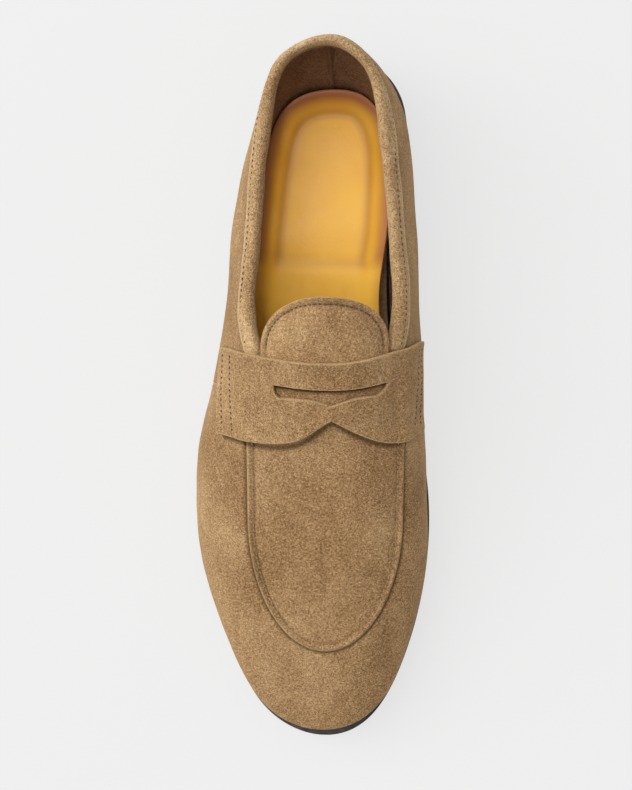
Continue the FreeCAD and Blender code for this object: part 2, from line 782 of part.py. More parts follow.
def apron_rows(back, front, count, spare):
    """Grid of plan points that covers the apron, a little wider than it."""
    rows = []
    for y in span(back, front, count):
        ahead = max(0.0, APRON_Y - y) / (size("apron_bow") + 8.0)
        half = (size("apron_half") + spare) * math.sqrt(max(1 - ahead ** 2, 0.0)) * 0.97 + 1.2
        rows.append([(APRON_X + x, y) for x in span(-half, half, 15)])
    return rows


def apron_outline(shift, back):
    """Half an ellipse, two straight sides and a tab that runs back to the root of the tongue, in plan."""
    half, bow = size("apron_half") + shift, size("apron_bow") + shift
    tab = size("tongue_root") + shift
    middle = Vector(APRON_X, APRON_Y, 0)
    nose = Part.Ellipse(Vector(APRON_X, APRON_Y - bow, 0), Vector(APRON_X + half, APRON_Y, 0), middle)
    right, left = Vector(APRON_X + half, APRON_Y, 0), Vector(APRON_X - half, APRON_Y, 0)
    arc = Part.ArcOfEllipse(nose, nose.parameter(left), nose.parameter(right))
    if arc.value((arc.FirstParameter + arc.LastParameter) / 2).y > APRON_Y:
        arc = Part.ArcOfEllipse(nose, nose.parameter(right), nose.parameter(left))
    corners = [
        (left.x, APRON_Y), (left.x, SHOULDER_Y), (TONGUE_X - tab, back),
        (TONGUE_X + tab, back), (right.x, SHOULDER_Y), (right.x, APRON_Y),
    ]
    return [line(a, b) for a, b in zip(corners, corners[1:])] + [arc]


def build_apron():
    gap = size("seam_gap") / 2
    front = APRON_Y - size("apron_bow") - 4.0
    rows = apron_rows(-97.0, front, 24, 4.0)
    for node, low, high, shift, back in (
        ("apron", -SUEDE, 0.0, -gap, HINGE_Y - 0.9),
        ("apron_lining", -SUEDE - GAP - size("lining"), -SUEDE - GAP, -gap - 1.4, HINGE_Y - 1.7),
    ):
        blank = feature(node + "_blank", sheet_over(rows, low, high))
        plan = prism(node + "_plan", sketch(node + "_outline", apron_outline(shift, back)), PLAN_HEIGHT)
        keep(node, common(node, blank, plan))


def tongue_outline(shift):
    """A round flap, a little narrower at its straight root."""
    root, half = size("tongue_root") - shift, size("tongue_half") - shift
    shoulder, tip = -91.5, TONGUE_TIP - shift
    flap = ((1.0, shoulder), (0.80, tip - 4.2), (0.42, tip - 1.0), (0.0, tip))
    right = [(TONGUE_X + half * share, y) for share, y in flap]
    left = [(TONGUE_X - half * share, y) for share, y in flap[-2::-1]]
    return [
        line((TONGUE_X - root, HINGE_Y), (TONGUE_X + root, HINGE_Y)),
        line((TONGUE_X + root, HINGE_Y), right[0]),
        through(right + left),
        line(left[-1], (TONGUE_X - root, HINGE_Y)),
    ]


def build_tongue():
    rows = [[(TONGUE_X + x, y) for x in span(-27.5, 27.5, 13)] for y in span(-101.5, -77.0, 10)]
    for node, low, high, shift in (
        ("tongue", -SUEDE, 0.0, 0.0),
        ("tongue_lining", -SUEDE - GAP - size("lining"), -SUEDE - GAP, 0.8),
    ):
        blank = feature(node + "_blank", sheet_over(rows, low, high))
        plan = prism(node + "_plan", sketch(node + "_outline", tongue_outline(shift)), PLAN_HEIGHT)
        keep(node, common(node, blank, plan))


STRAP_OFFSET = 0.5


def strap_section(y, offset, count):
    """Line across the shoe over the instep, from the strap's outer end to its inner end."""
    lateral = bisect(lambda t: spine(widest(t).y).y - y, 1.0, TOE)
    medial = bisect(lambda t: spine(widest(t).y).y - y, STATIONS - 1.0, TOE)
    top = math.pi / 2 - 0.01

    def side(t, low):
        return [outside(t, a) + outward(t, a) * offset for a in span(low, top, 24)]

    left = side(lateral, at_height(lateral, size("strap_end_outer")))
    right = side(medial, at_height(medial, size("strap_end_inner")))
    return evenly(left + right[::-1], count)


def strap_outline():
    """Hollow back edge, two ends and a front edge with two lobes that meet in a point."""
    cusp = (5.6, -128.3)
    lateral_back, lateral_front = (-56.0, -98.0), (-58.0, -134.4)
    medial_back, medial_front = (50.0, -92.0), (54.0, -127.0)
    return [
        line(lateral_front, lateral_back),
        through([lateral_back, (-39.5, -99.5), (-25.5, -102.2), (-4.0, -104.8), (20.0, -102.6), (33.0, -97.6),
                 medial_back]),
        line(medial_back, medial_front),
        through([medial_front, (42.0, -128.8), (35.0, -134.4), (25.5, -136.2), (15.0, -132.6), cusp]),
        through([cusp, (-3.5, -134.6), (-14.5, -138.6), (-28.0, -137.8), (-41.4, -134.8), lateral_front]),
    ]


def slot_outline():
    """The slit in the strap, with a point in its front edge."""
    left, right = -17.4, 27.0
    return [
        through([(left, -113.6), (-4.0, -114.9), (8.0, -114.8), (18.0, -113.5), (right, -111.0)]),
        line((right, -111.0), (right - 4.6, -116.6)),
        through([(right - 4.6, -116.6), (14.4, -118.6), (5.2, -122.0)]),
        through([(5.2, -122.0), (-3.0, -119.8), (left + 2.2, -119.6)]),
        line((left + 2.2, -119.6), (left, -113.6)),
    ]


def build_strap():
    rows = [(strap_section(y, STRAP_OFFSET + SUEDE, 27), strap_section(y, STRAP_OFFSET, 27))
            for y in span(-145.0, -88.0, 15)]
    blank = feature("strap_blank", solid_between([r[0] for r in rows], [r[1] for r in rows]))
    plan = prism("strap_plan", sketch("strap_outline", strap_outline()), PLAN_HEIGHT)
    slot = prism("strap_slot", sketch("slot_outline", slot_outline()), PLAN_HEIGHT)
    whole = common("strap_whole", blank, plan)
    keep("saddle_strap", cut("saddle_strap", whole, slot))


# ------------------------------------------------------------------------------------------------------- stitching
def stitches(node, lines):
    """Short lengths of thread laid on the leather along each line of (point, outward normal) pairs."""
    radius, pitch = size("thread"), size("stitch_pitch")
    solids = []
    for points, clearance in lines:
        run = [0.0]
        for (a, _), (b, _) in zip(points, points[1:]):
            run.append(run[-1] + (b - a).Length)
        count = int(run[-1] / pitch)
        for i in range(count):
            ends = []
            for share in (i + 0.2, i + 0.85):
                want = share * pitch
                k = max(j for j in range(len(run) - 1) if run[j] <= want)
                (a, na), (b, _) = points[k], points[k + 1]
                p = a + (b - a) * ((want - run[k]) / (run[k + 1] - run[k]))
                ends.append(p + na * (radius + clearance))
            along = ends[1] - ends[0]
            solids.append(Part.makeCylinder(radius, along.Length, ends[0], along))
    return keep(node, feature(node, Part.makeCompound(solids)))


def along_seam(stations, angle):
    """Points and outward normals along a line on the upper; angle is a function of the station."""
    return [(outside(t, angle(t)), outward(t, angle(t))) for t in stations]


def over_plan(points):
    """Points and outward normals on the upper over a line in plan."""
    return [(lift_point(x, y, 0.0), lift_point(x, y, 1.0) - lift_point(x, y, 0.0)) for x, y in points]


def strap_end_rows():
    """Two rows of stitches up each end of the strap, one at its lower edge and one above."""
    rows = []
    for inner, back, front, end in (
        (False, -101.5, -132.5, size("strap_end_outer")),
        (True, -98.0, -127.0, size("strap_end_inner")),
    ):
        for above in (2.8, 8.4):
            level = end + above
            stations = span(side_station(back, inner), side_station(front, inner), 20)
            rows.append(along_seam(stations, lambda t: at_height(t, level)))
    return rows


def build_stitching():
    lift = 0.06
    inside_seam, inside_edge, below_collar = 2.2, 2.4, size("collar_wide") / 2 + 2.6
    front = span(side_station(-140.0, False), side_station(-140.0, True), 160)
    stitches("apron_stitching", [(along_seam(front, lambda t: seam_angle(t, -inside_seam)), lift)])

    half, tip, root = size("tongue_half") - inside_edge, TONGUE_TIP - inside_edge, -96.0
    border = []
    for i in range(61):
        a = math.pi * i / 60
        border.append((TONGUE_X - half * math.cos(a), root + (tip - root) * math.sin(a) ** 0.7))
    stitches("tongue_stitching", [(over_plan(border), lift)])

    stitches("saddle_stitching", [(row, STRAP_OFFSET + SUEDE + 2 * lift) for row in strap_end_rows()])

    ring = span(side_station(-96.0, True), side_station(-98.0, False) + STATIONS, 150)
    stitches("collar_stitching", [(along_seam(ring, lambda t: topline_angle(t, below_collar)), lift)])

    seams = []
    beside, above_fold, below_top = 0.07, 0.23, 0.975
    for t in (beside, STATIONS - beside):
        wall = evenly(profile(t, 0.0, topline_angle(t, below_collar)), 40, above_fold, below_top)
        seams.append([(p, level_normal(t) * -1) for p in wall])
    stitches("back_seam_stitching", [(seam, lift) for seam in seams])


def check():
    doc.recompute()
    for obj in doc.Objects:
        if "Invalid" in obj.State or "Error" in obj.State:
            raise RuntimeError("%s is not built: %s" % (obj.Name, obj.State))
    for node, obj in pieces.items():
        if obj.Shape.isNull() or not obj.Shape.isValid() or not obj.Shape.Solids:
            raise RuntimeError("%s has no valid solid" % node)
        if any(solid.Volume <= 0 for solid in obj.Shape.Solids):
            raise RuntimeError("%s is inside out" % node)


def write():
    os.makedirs("parts", exist_ok=True)
    for old in os.listdir("parts"):
        os.remove(os.path.join("parts", old))
    for node, obj in pieces.items():
        obj.Shape.exportStep("parts/%s.step" % node)
        print("%-24s %2d solids %10.1f mm3" % (node, len(obj.Shape.Solids), obj.Shape.Volume))


build_heel()
build_bottom(build_nails())
build_footbed()
build_skirt()
build_quarters()
build_collar()
build_apron()
build_tongue()
build_strap()
build_stitching()
check()
write()
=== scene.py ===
"""Looks of the penny loafer: lasted suede upper, moulded leather footbed, dark sole edge.

Lengths are worked out in millimetres and turned into metres when a mesh is made. The toe points along -Y and
the inner side of the foot is +X. Every layer of the upper is measured from the outside of the lasted shoe.
"""

import json
import math

import bmesh
import bpy
import numpy as np
from mathutils import Matrix, Vector

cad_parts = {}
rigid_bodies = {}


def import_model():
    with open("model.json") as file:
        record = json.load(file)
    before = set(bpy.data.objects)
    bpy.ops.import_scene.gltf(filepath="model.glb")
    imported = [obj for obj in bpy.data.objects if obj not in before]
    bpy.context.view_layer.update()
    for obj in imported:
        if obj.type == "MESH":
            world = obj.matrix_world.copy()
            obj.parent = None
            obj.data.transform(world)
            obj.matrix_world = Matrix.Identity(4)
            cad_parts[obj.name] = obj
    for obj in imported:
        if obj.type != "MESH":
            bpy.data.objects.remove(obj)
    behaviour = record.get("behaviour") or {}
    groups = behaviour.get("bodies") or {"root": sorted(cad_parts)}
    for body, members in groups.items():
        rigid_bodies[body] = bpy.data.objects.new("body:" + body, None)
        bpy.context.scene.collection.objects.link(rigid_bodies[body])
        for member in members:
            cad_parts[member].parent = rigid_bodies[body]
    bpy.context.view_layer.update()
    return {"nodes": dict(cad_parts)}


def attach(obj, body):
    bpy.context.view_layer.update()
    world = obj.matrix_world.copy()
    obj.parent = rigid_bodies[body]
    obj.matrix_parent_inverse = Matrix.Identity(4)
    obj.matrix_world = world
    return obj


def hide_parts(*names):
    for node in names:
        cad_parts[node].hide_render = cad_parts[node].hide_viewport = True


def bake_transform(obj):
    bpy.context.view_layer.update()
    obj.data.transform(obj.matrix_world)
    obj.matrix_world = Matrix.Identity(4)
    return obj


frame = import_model()
MM = 0.001

# ---- the last
# Stations round the shoe, clockwise from the back of the heel.
# On the widest line: x, y and roundness of the section. On the sole edge: x, y.
WIDEST = np.array([
    (-0.5, 30.6, 1.68), (-22.3, 20.0, 1.7), (-32.0, -2.0, 1.51), (-38.6, -28.0, 1.27),
    (-42.9, -60.0, 1.3), (-45.9, -94.0, 1.96), (-53.0, -128.0, 2.2), (-56.6, -160.0, 2.2),
    (-52.8, -194.0, 2.25), (-41.0, -226.5, 2.3), (-24.4, -253.4, 2.3), (0.0, -263.4, 2.3),
    (23.0, -253.8, 2.3), (36.8, -226.5, 2.3), (43.8, -194.0, 2.4), (43.8, -160.0, 2.5),
    (41.6, -128.0, 2.7), (39.3, -94.0, 2.7), (37.3, -60.0, 1.65), (34.9, -28.0, 1.42),
    (30.4, 0.0, 1.56), (18.9, 19.6, 1.94),
])
SOLE_EDGE = np.array([
    (-0.5, 30.8), (-21.3, 20.6), (-30.6, -1.0), (-33.0, -28.0), (-36.0, -60.0), (-41.0, -94.0),
    (-49.0, -128.0), (-53.0, -160.0), (-50.5, -194.0), (-41.6, -228.0), (-25.2, -256.2),
    (0.0, -267.2), (22.6, -257.2), (36.9, -228.0), (43.9, -194.0), (44.0, -160.0), (38.0, -128.0),
    (31.0, -94.0), (29.0, -60.0), (29.3, -28.0), (29.6, 0.0), (20.0, 20.8),
])
STATIONS = len(WIDEST)
TOE = 11
RIDGE = ((-272, 21), (-250, 31), (-226, 38.5), (-194, 46.5), (-160, 56), (-128, 68), (-104, 79), (-80, 91),
         (-55, 101), (-20, 110), (42, 115))
TOPLINE = ((-125, 76), (-100, 73), (-75, 67.5), (-50, 65), (-25, 69), (0, 76), (20, 80.5), (40, 81.5))
BELLY = ((-272, 7), (-226, 9.5), (-160, 13), (-94, 14), (-28, 16), (42, 17))
TOE_POLE, HEEL_POLE, POLE_SOFTNESS = -160.0, -4.0, 14.0
HEEL_RISE, SOLE, TOE_SPRING = 15.0, 4.5, 9.0
TREAD_FRONT, TREAD_BACK, HEEL_FRONT, TOE_END = 175.0, 128.0, 38.0, 268.0
SUEDE, LINING, STIFFENER, CEMENT = 1.4, 0.9, 0.8, 0.1
LINING_DEPTH = 2.5
SEAT_GAP, BOARD_BASE = 0.2, 3.9
BOARD, CUSHION, FOOTBED_COVER = 2.2, 2.6, 1.2
BELOW_SHOE = np.array([2.0, -115.0, -200.0])  # surfaces that face away from this point face outward
WELD = 0.004  # points closer than this are one point
APRON_X, APRON_Y, APRON_HALF, APRON_BOW = 2.1, -170.0, 32.2, 56.3
TONGUE_X, TONGUE_TIP = 2.6, -80.0
# Under the strap: y of the ends of the skirt, the quarters, the apron and the tongue.
SKIRT_BACK, QUARTER_FRONT, APRON_BACK, TONGUE_ROOT = -114.2, -121.0, -107.5, -107.5
SEAT_FRONT = -61.5  # y of the crease in front of the heel seat


def periodic(values):
    """Smooth closed curve through rows of values, one unit of its parameter per row."""
    n = len(values)
    matrix = 4 * np.eye(n) + np.roll(np.eye(n), 1, 0) + np.roll(np.eye(n), -1, 0)
    slope = np.linalg.solve(matrix, 3 * (np.roll(values, -1, 0) - np.roll(values, 1, 0)))

    def at(t):
        t = np.asarray(t, float) % n
        i = np.floor(t).astype(int) % n
        u = (t - np.floor(t))[..., None]
        j = (i + 1) % n
        a, b, da, db = values[i], values[j], slope[i], slope[j]
        return a + u * da + u * u * (3 * (b - a) - 2 * da - db) + u ** 3 * (2 * (a - b) + da + db)

    return at


def spline(points):
    """Smooth curve y(x) through points with rising x; it stays level beyond its ends."""
    xs, ys = np.array(points, float).T
    n, h = len(xs), np.diff(xs)
    matrix, right = np.eye(n), np.zeros(n)
    for i in range(1, n - 1):
        matrix[i, i - 1], matrix[i, i], matrix[i, i + 1] = h[i - 1], 2 * (h[i - 1] + h[i]), h[i]
        right[i] = 6 * ((ys[i + 1] - ys[i]) / h[i] - (ys[i] - ys[i - 1]) / h[i - 1])
    m = np.linalg.solve(matrix, right)

    def at(x):
        x = np.clip(np.asarray(x, float), xs[0], xs[-1])
        i = np.clip(np.searchsorted(xs, x) - 1, 0, n - 2)
        a, b, w = xs[i + 1] - x, x - xs[i], h[i]
        cubic = (m[i] * a ** 3 + m[i + 1] * b ** 3) / (6 * w)
        return cubic + (ys[i] / w - m[i] * w / 6) * a + (ys[i + 1] / w - m[i + 1] * w / 6) * b

    return at


widest, sole_edge = periodic(WIDEST), periodic(SOLE_EDGE)
ridge_z, topline_z, belly_z = spline(RIDGE), spline(TOPLINE), spline(BELLY)


def ease(u):
    u = np.clip(u, 0, 1)
    return u * u * (3 - 2 * u)


def bump(x, centre, width):
    """Bell of height 1."""
    return np.exp(-((x - centre) / width) ** 2)


def sole_under(y):
    waist = HEEL_RISE * ease((y + TREAD_BACK) / (TREAD_BACK - HEEL_FRONT))
    toe = np.clip((-TREAD_FRONT - y) / (TOE_END - TREAD_FRONT), 0, 1.2)
    return waist + TOE_SPRING * toe * toe


def sole_top(y):
    return sole_under(y) + SOLE


def spine(y):
    """The middle line (x, y) for places on the outline; it ends at two poles."""
    def soft(v):
        return POLE_SOFTNESS * np.log1p(np.exp(np.clip(v / POLE_SOFTNESS, -60, 40)))

    along = HEEL_POLE - soft(HEEL_POLE - (TOE_POLE + soft(y - TOE_POLE)))
    return 3.0 * ease((-10.0 - along) / 90.0), along


def outside(t, angle):
    """The outside of the upper above its widest line; angle runs from 0 there to pi/2 on the ridge."""
    t, angle = np.broadcast_arrays(np.asarray(t, float), np.asarray(angle, float))
    out = widest(t)
    ox, oy, n = out[..., 0], out[..., 1], out[..., 2]
    sx, sy = spine(oy)
    rho = np.clip(np.cos(angle), 0, 1) ** (2 / n)
    rise = np.clip(np.sin(angle), 0, 1) ** (2 / n)
    x, y = sx + rho * (ox - sx), sy + rho * (oy - sy)
    base = sole_top(oy) + belly_z(oy)
    return np.stack([x, y, base + (ridge_z(y) - base) * rise], -1)


def bisect(f, low, high, turns=44):
    """Where f, positive at low, changes sign; works on whole arrays."""
    low, high = np.broadcast_arrays(np.asarray(low, float), np.asarray(high, float))
    low, high = low.copy(), high.copy()
    for _ in range(turns):
        middle = (low + high) / 2
        above = f(middle) > 0
        low, high = np.where(above, middle, low), np.where(above, high, middle)
    return (low + high) / 2


def side_station(y, inner):
    y = np.asarray(y, float)
    start = np.full(y.shape, STATIONS - 0.4 if inner else 0.4)
    return bisect(lambda t: widest(t)[..., 1] - y, start, np.full(y.shape, float(TOE)))


def seam_angle(t, shift=0.0):
    """Where the section at t crosses the apron seam, or a line at a distance outside it."""
    half, bow = APRON_HALF + shift, APRON_BOW + shift

    def beyond(angle):
        p = outside(t, angle)
        ahead = np.maximum(0, APRON_Y - p[..., 1]) / bow
        return ((p[..., 0] - APRON_X) / half) ** 2 + ahead ** 2 - 1

    t = np.asarray(t, float)
    return bisect(beyond, np.full(t.shape, 0.01), np.full(t.shape, math.pi / 2 - 0.01))


def height_angle(t, level):
    """Where the section at t reaches a height; level is a function of y."""
    t = np.asarray(t, float)

    def below(angle):
        p = outside(t, angle)
        return level(p[..., 1]) - p[..., 2]

    return bisect(below, np.zeros(t.shape), np.full(t.shape, math.pi / 2))


def topline_angle(t, drop=0.0):
    return height_angle(t, lambda y: topline_z(y) - drop)


def quarter_top(t, drop):
    share = ease((-widest(t)[..., 1] - 99.0) / 7.0)
    return topline_angle(t, drop) * (1 - share) + seam_angle(t) * share


def unit(v):
    return v / np.maximum(np.linalg.norm(v, axis=-1, keepdims=True), 1e-9)


def outward(t, angle):
    """Unit normal of the outside surface."""
    step = 0.004
    t, angle = np.broadcast_arrays(np.asarray(t, float), np.asarray(angle, float))
    across = outside(t + 0.02, angle) - outside(t - 0.02, angle)
    low, high = np.maximum(angle - step, 0.0005), np.minimum(np.maximum(angle, 0) + step, math.pi / 2 - 0.001)
    normal = unit(np.cross(across, outside(t, high) - outside(t, low)))
    sx, sy = spine(widest(t)[..., 1])
    here = outside(t, angle)
    away = np.stack([here[..., 0] - sx, here[..., 1] - sy, np.full(sx.shape, 20.0)], -1)
    return normal * np.where((normal * away).sum(-1, keepdims=True) < 0, -1, 1)


def inward_level(t, curve):
    """Level unit vector from a plan curve into the shoe."""
    along = curve(t + 0.02)[..., :2] - curve(t - 0.02)[..., :2]
    normal = unit(np.stack([-along[..., 1], along[..., 0]], -1))
    here = curve(t)
    sx, sy = spine(here[..., 1])
    middle = np.stack([sx - here[..., 0], sy - here[..., 1]], -1)
    return normal * np.where((normal * middle).sum(-1, keepdims=True) < 0, -1, 1)


def feather_inset(y):
    return 1.4 + 3.8 * ease((-y - 130) / 60)


def run_length(lines):
    """Distance of each point of a line, or of each row of lines, from the line's first point."""
    step = np.linalg.norm(np.diff(lines, axis=-2), axis=-1)
    return np.concatenate([np.zeros(step.shape[:-1] + (1,)), np.cumsum(step, -1)], -1)


def resample(points, count):
    """Points at even distances along each row of polylines."""
    run = run_length(points)
    result = np.empty((len(points), count, 3))
    for i, row in enumerate(points):
        want = np.linspace(0, 1, count) * run[i, -1]
        for k in range(3):
            result[i, :, k] = np.interp(want, run[i], row[:, k])
    return result


def wall(t, top, count, depth=0.0):
    """Grid of the upper from the sole to the angle top, for stations t: rows are stations."""
    out, edge = widest(t), sole_edge(t)
    foot = edge[:, :2] + inward_level(t, sole_edge) * (feather_inset(edge[:, 1]) + depth)[:, None]
    belly = out[:, :2] + inward_level(t, widest) * depth
    base = sole_top(out[:, 1]) + belly_z(out[:, 1])
    rows = []
    for a in np.linspace(0, math.pi / 2, 12)[:-1]:
        p = foot + (belly - foot) * math.sin(a)
        low = sole_top(p[:, 1]) + SEAT_GAP + depth * 0.2
        rows.append(np.column_stack([p, low + (base - low) * (1 - math.cos(a))]))
    for share in np.linspace(0, 1, 60):
        angle = top * share
        rows.append(outside(t, angle) - outward(t, np.maximum(angle, 0.001)) * depth)
    return resample(np.stack(rows, 1), count)


def wobble(points, length, seed):
    """Smooth pseudo-random field of about -1 to 1 with features of the given length."""
    rng = np.random.default_rng(seed)
    total = np.zeros(points.shape[:-1])
    for _ in range(9):
        direction = unit(rng.normal(size=3)) * (2 * math.pi / length) * rng.uniform(0.6, 1.5)
        total += np.sin(points @ direction + rng.uniform(0, 2 * math.pi))
    return total / 4.0


# ---- meshes
def make_object(name, vertices, faces, attributes):
    mesh = bpy.data.meshes.new(name)
    mesh.from_pydata((vertices * MM).tolist(), [], faces)
    for key, values in attributes.items():
        mesh.attributes.new(key, "FLOAT", "POINT").data.foreach_set("value", np.asarray(values, np.float32))
    mesh.polygons.foreach_set("use_smooth", [True] * len(mesh.polygons))
    mesh.update()
    obj = bpy.data.objects.new(name, mesh)
    bpy.context.scene.collection.objects.link(obj)
    return obj


def clean(face):
    """Corner list without repeats."""
    kept = [v for i, v in enumerate(face) if v != face[i - 1]]
    return tuple(kept) if len(set(kept)) == len(kept) and len(kept) > 2 else None


def weld(grid):
    """Joins points of a grid that coincide: which ones are kept, and the grid of their new numbers."""
    key = np.round(grid.reshape(-1, 3) / WELD).astype(np.int64)
    _, first, index = np.unique(key, axis=0, return_index=True, return_inverse=True)
    return first, index.reshape(grid.shape[:2])


def cell_corners(index):
    return np.stack([index[:-1, :-1], index[1:, :-1], index[1:, 1:], index[:-1, 1:]], -1)


def up_only(points):
    return np.tile([0.0, 0.0, 1.0], (len(points), 1))


def open_border(faces):
    """Directed edges that have a face on one side only."""
    edges = set()
    for face in faces:
        edges.update(zip(face, face[1:] + face[:1]))
    return sorted((a, b) for a, b in edges if (b, a) not in edges)


def drop_unused(vertices, faces, extra):
    """The same mesh without the points that no face uses."""
    used = np.zeros(len(vertices), bool)
    for face in faces:
        used[list(face)] = True
    number = np.cumsum(used) - 1
    faces = [tuple(int(number[v]) for v in face) for face in faces]
    return vertices[used], faces, {key: values[used] for key, values in extra.items()}


def shell(name, grid, thick, keep=None, lip=0.35, up=None, **attributes):
    """Closed sheet below a grid of points, with round edges.

    keep says which cells of the grid are leather. Points that coincide are joined. up, a function from points
    to vectors, hints which side is outside.
    """
    first, index = weld(grid)
    points = grid.reshape(-1, 3)[first]
    corners = cell_corners(index)
    corners = corners.reshape(-1, 4) if keep is None else corners[keep]

    def each_point(values):
        return np.broadcast_to(values, grid.shape[:2]).reshape(-1)[first]

    a, b, c, d = (points[corners[:, k]] for k in range(4))
    diagonal = np.cross(c - a, d - b)
    centre = points[corners].mean(1)
    guide = up(centre) if up else centre - BELOW_SHOE
    if (diagonal * guide).sum() < 0:
        corners, diagonal = corners[:, ::-1], -diagonal
    normals = np.zeros_like(points)
    for k in range(4):
        np.add.at(normals, corners[:, k], diagonal)
    normals = unit(normals)

    faces = [f for f in map(clean, corners.tolist()) if f]
    border = open_border(faces)
    push = np.zeros_like(points)
    for a, b in border:
        side = np.cross(points[b] - points[a], normals[a])
        push[a] += side
        push[b] += side
    rim = sorted({a for edge in border for a in edge})
    slot = {v: i for i, v in enumerate(rim)}
    depth = each_point(thick)
    outdir = unit(push[rim])
    rings = []
    for share, reach in ((0.1, 0.6), (0.3, 0.93), (0.7, 0.93), (0.9, 0.6)):
        rings.append(points[rim] - normals[rim] * (depth[rim] * share)[:, None] + outdir * lip * reach)
    n, r = len(points), len(rim)
    inner_start = n + len(rings) * r
    vertices = np.concatenate([points] + rings + [points - normals * depth[:, None]])
    solid = list(faces)
    for a, b in border:
        chain_a = [a] + [n + k * r + slot[a] for k in range(len(rings))] + [inner_start + a]
        chain_b = [b] + [n + k * r + slot[b] for k in range(len(rings))] + [inner_start + b]
        for k in range(len(chain_a) - 1):
            solid.append((chain_b[k], chain_a[k], chain_a[k + 1], chain_b[k + 1]))
    solid += [tuple(inner_start + v for v in reversed(face)) for face in faces]
    extra = {"rim": np.concatenate([np.zeros(n), np.ones(len(rings) * r), np.zeros(n)])}
    extra["rim"][rim] = 1
    extra["rim"][[inner_start + v for v in rim]] = 1
    for label, values in attributes.items():
        base = each_point(values)
        extra[label] = np.concatenate([base] + [base[rim]] * len(rings) + [base])
    return make_object(name, *drop_unused(vertices, solid, extra))


def paired(y_back, count):
    """Stations from the outer side at y_back round the toe to the inner side, in pairs with equal y."""
    lateral = np.linspace(side_station(y_back, False), TOE, count)
    ys = widest(lateral)[:, 1]
    medial = side_station(ys[:-1], True)[::-1]
    return np.concatenate([lateral, medial])


def all_round(count):
    """Stations round the whole shoe, in pairs with equal y on the sole edge."""
    lateral = np.linspace(0, TOE, count)
    ys = sole_edge(lateral)[1:-1, 1]
    start = np.full(ys.shape, STATIONS - 0.002)
    medial = bisect(lambda t: sole_edge(t)[..., 1] - ys, start, np.full(ys.shape, TOE))
    return np.concatenate([lateral, medial[::-1], [STATIONS]])


def tube(name, sections, **attributes):
    """Closed tube through rings of points (rings, points, 3)."""
    rings, count = sections.shape[:2]
    vertices = np.concatenate([sections.reshape(-1, 3), [sections[0].mean(0)], [sections[-1].mean(0)]])
    last = (rings - 1) * count
    faces = []
    for j in range(count):
        k = (j + 1) % count
        for start in range(0, last, count):
            faces.append((start + j, start + k, start + count + k, start + count + j))
        faces += [(rings * count, k, j), (rings * count + 1, last + j, last + k)]
    made = {}
    for label, values in attributes.items():
        made[label] = np.concatenate([np.broadcast_to(values, (rings, count)).reshape(-1), [0, 0]])
    return fix_normals(make_object(name, vertices, faces, made))


def fix_normals(obj):
    work = bmesh.new()
    work.from_mesh(obj.data)
    bmesh.ops.recalc_face_normals(work, faces=work.faces)
    work.to_mesh(obj.data)
    work.free()
    return obj


def stitch_row(points, normals, pitch, length=0.68, radius=0.3, lift=0.1, slant=0.0):
    """Thread loops along a line: (vertices, faces) of one short capsule per stitch."""
    run = run_length(points)
    count = int(run[-1] / pitch)
    around, steps = 7, 7
    verts, faces = [], []
    for i in range(count):
        shares = (i + 0.5 + (np.linspace(0, 1, steps) - 0.5) * length) * pitch
        line = np.stack([np.interp(shares, run, points[:, k]) for k in range(3)], 1)
        up = unit(np.stack([np.interp(shares, run, normals[:, k]) for k in range(3)], 1))
        along = unit(line[-1] - line[0])
        side = unit(np.cross(up, along))
        bow = np.sin(np.linspace(0, math.pi, steps))
        line = line + up * (lift + radius * 1.1 * bow - radius)[:, None]
        line = line + side * (slant * np.linspace(-1, 1, steps))[:, None]
        width = radius * (0.45 + 0.55 * bow)
        start = len(verts) * around
        for s in range(steps):
            ring = [line[s] + side[s] * math.cos(a) * width[s] + up[s] * math.sin(a) * width[s]
                    for a in np.linspace(0, 2 * math.pi, around, endpoint=False)]
            verts.append(ring)
        for s in range(steps - 1):
            for k in range(around):
                m = (k + 1) % around
                a, b = start + s * around, start + (s + 1) * around
                faces.append((a + k, a + m, b + m, b + k))
        faces.append(tuple(start + k for k in reversed(range(around))))
        faces.append(tuple(start + (steps - 1) * around + k for k in range(around)))
    return np.array(verts).reshape(-1, 3), faces


def stitches(name, rows):
    verts, faces, offset = [], [], 0
    for v, f in rows:
        verts.append(v)
        faces += [tuple(i + offset for i in face) for face in f]
        offset += len(v)
    return fix_normals(make_object(name, np.concatenate(verts), faces, {}))


# ---- materials
def material(name):
    mat = bpy.data.materials.new(name)
    mat.use_nodes = True
    tree = mat.node_tree
    tree.nodes.clear()
    out = tree.nodes.new("ShaderNodeOutputMaterial")
    shader = tree.nodes.new("ShaderNodeBsdfPrincipled")
    tree.links.new(shader.outputs[0], out.inputs[0])
    return mat, Graph(tree), shader


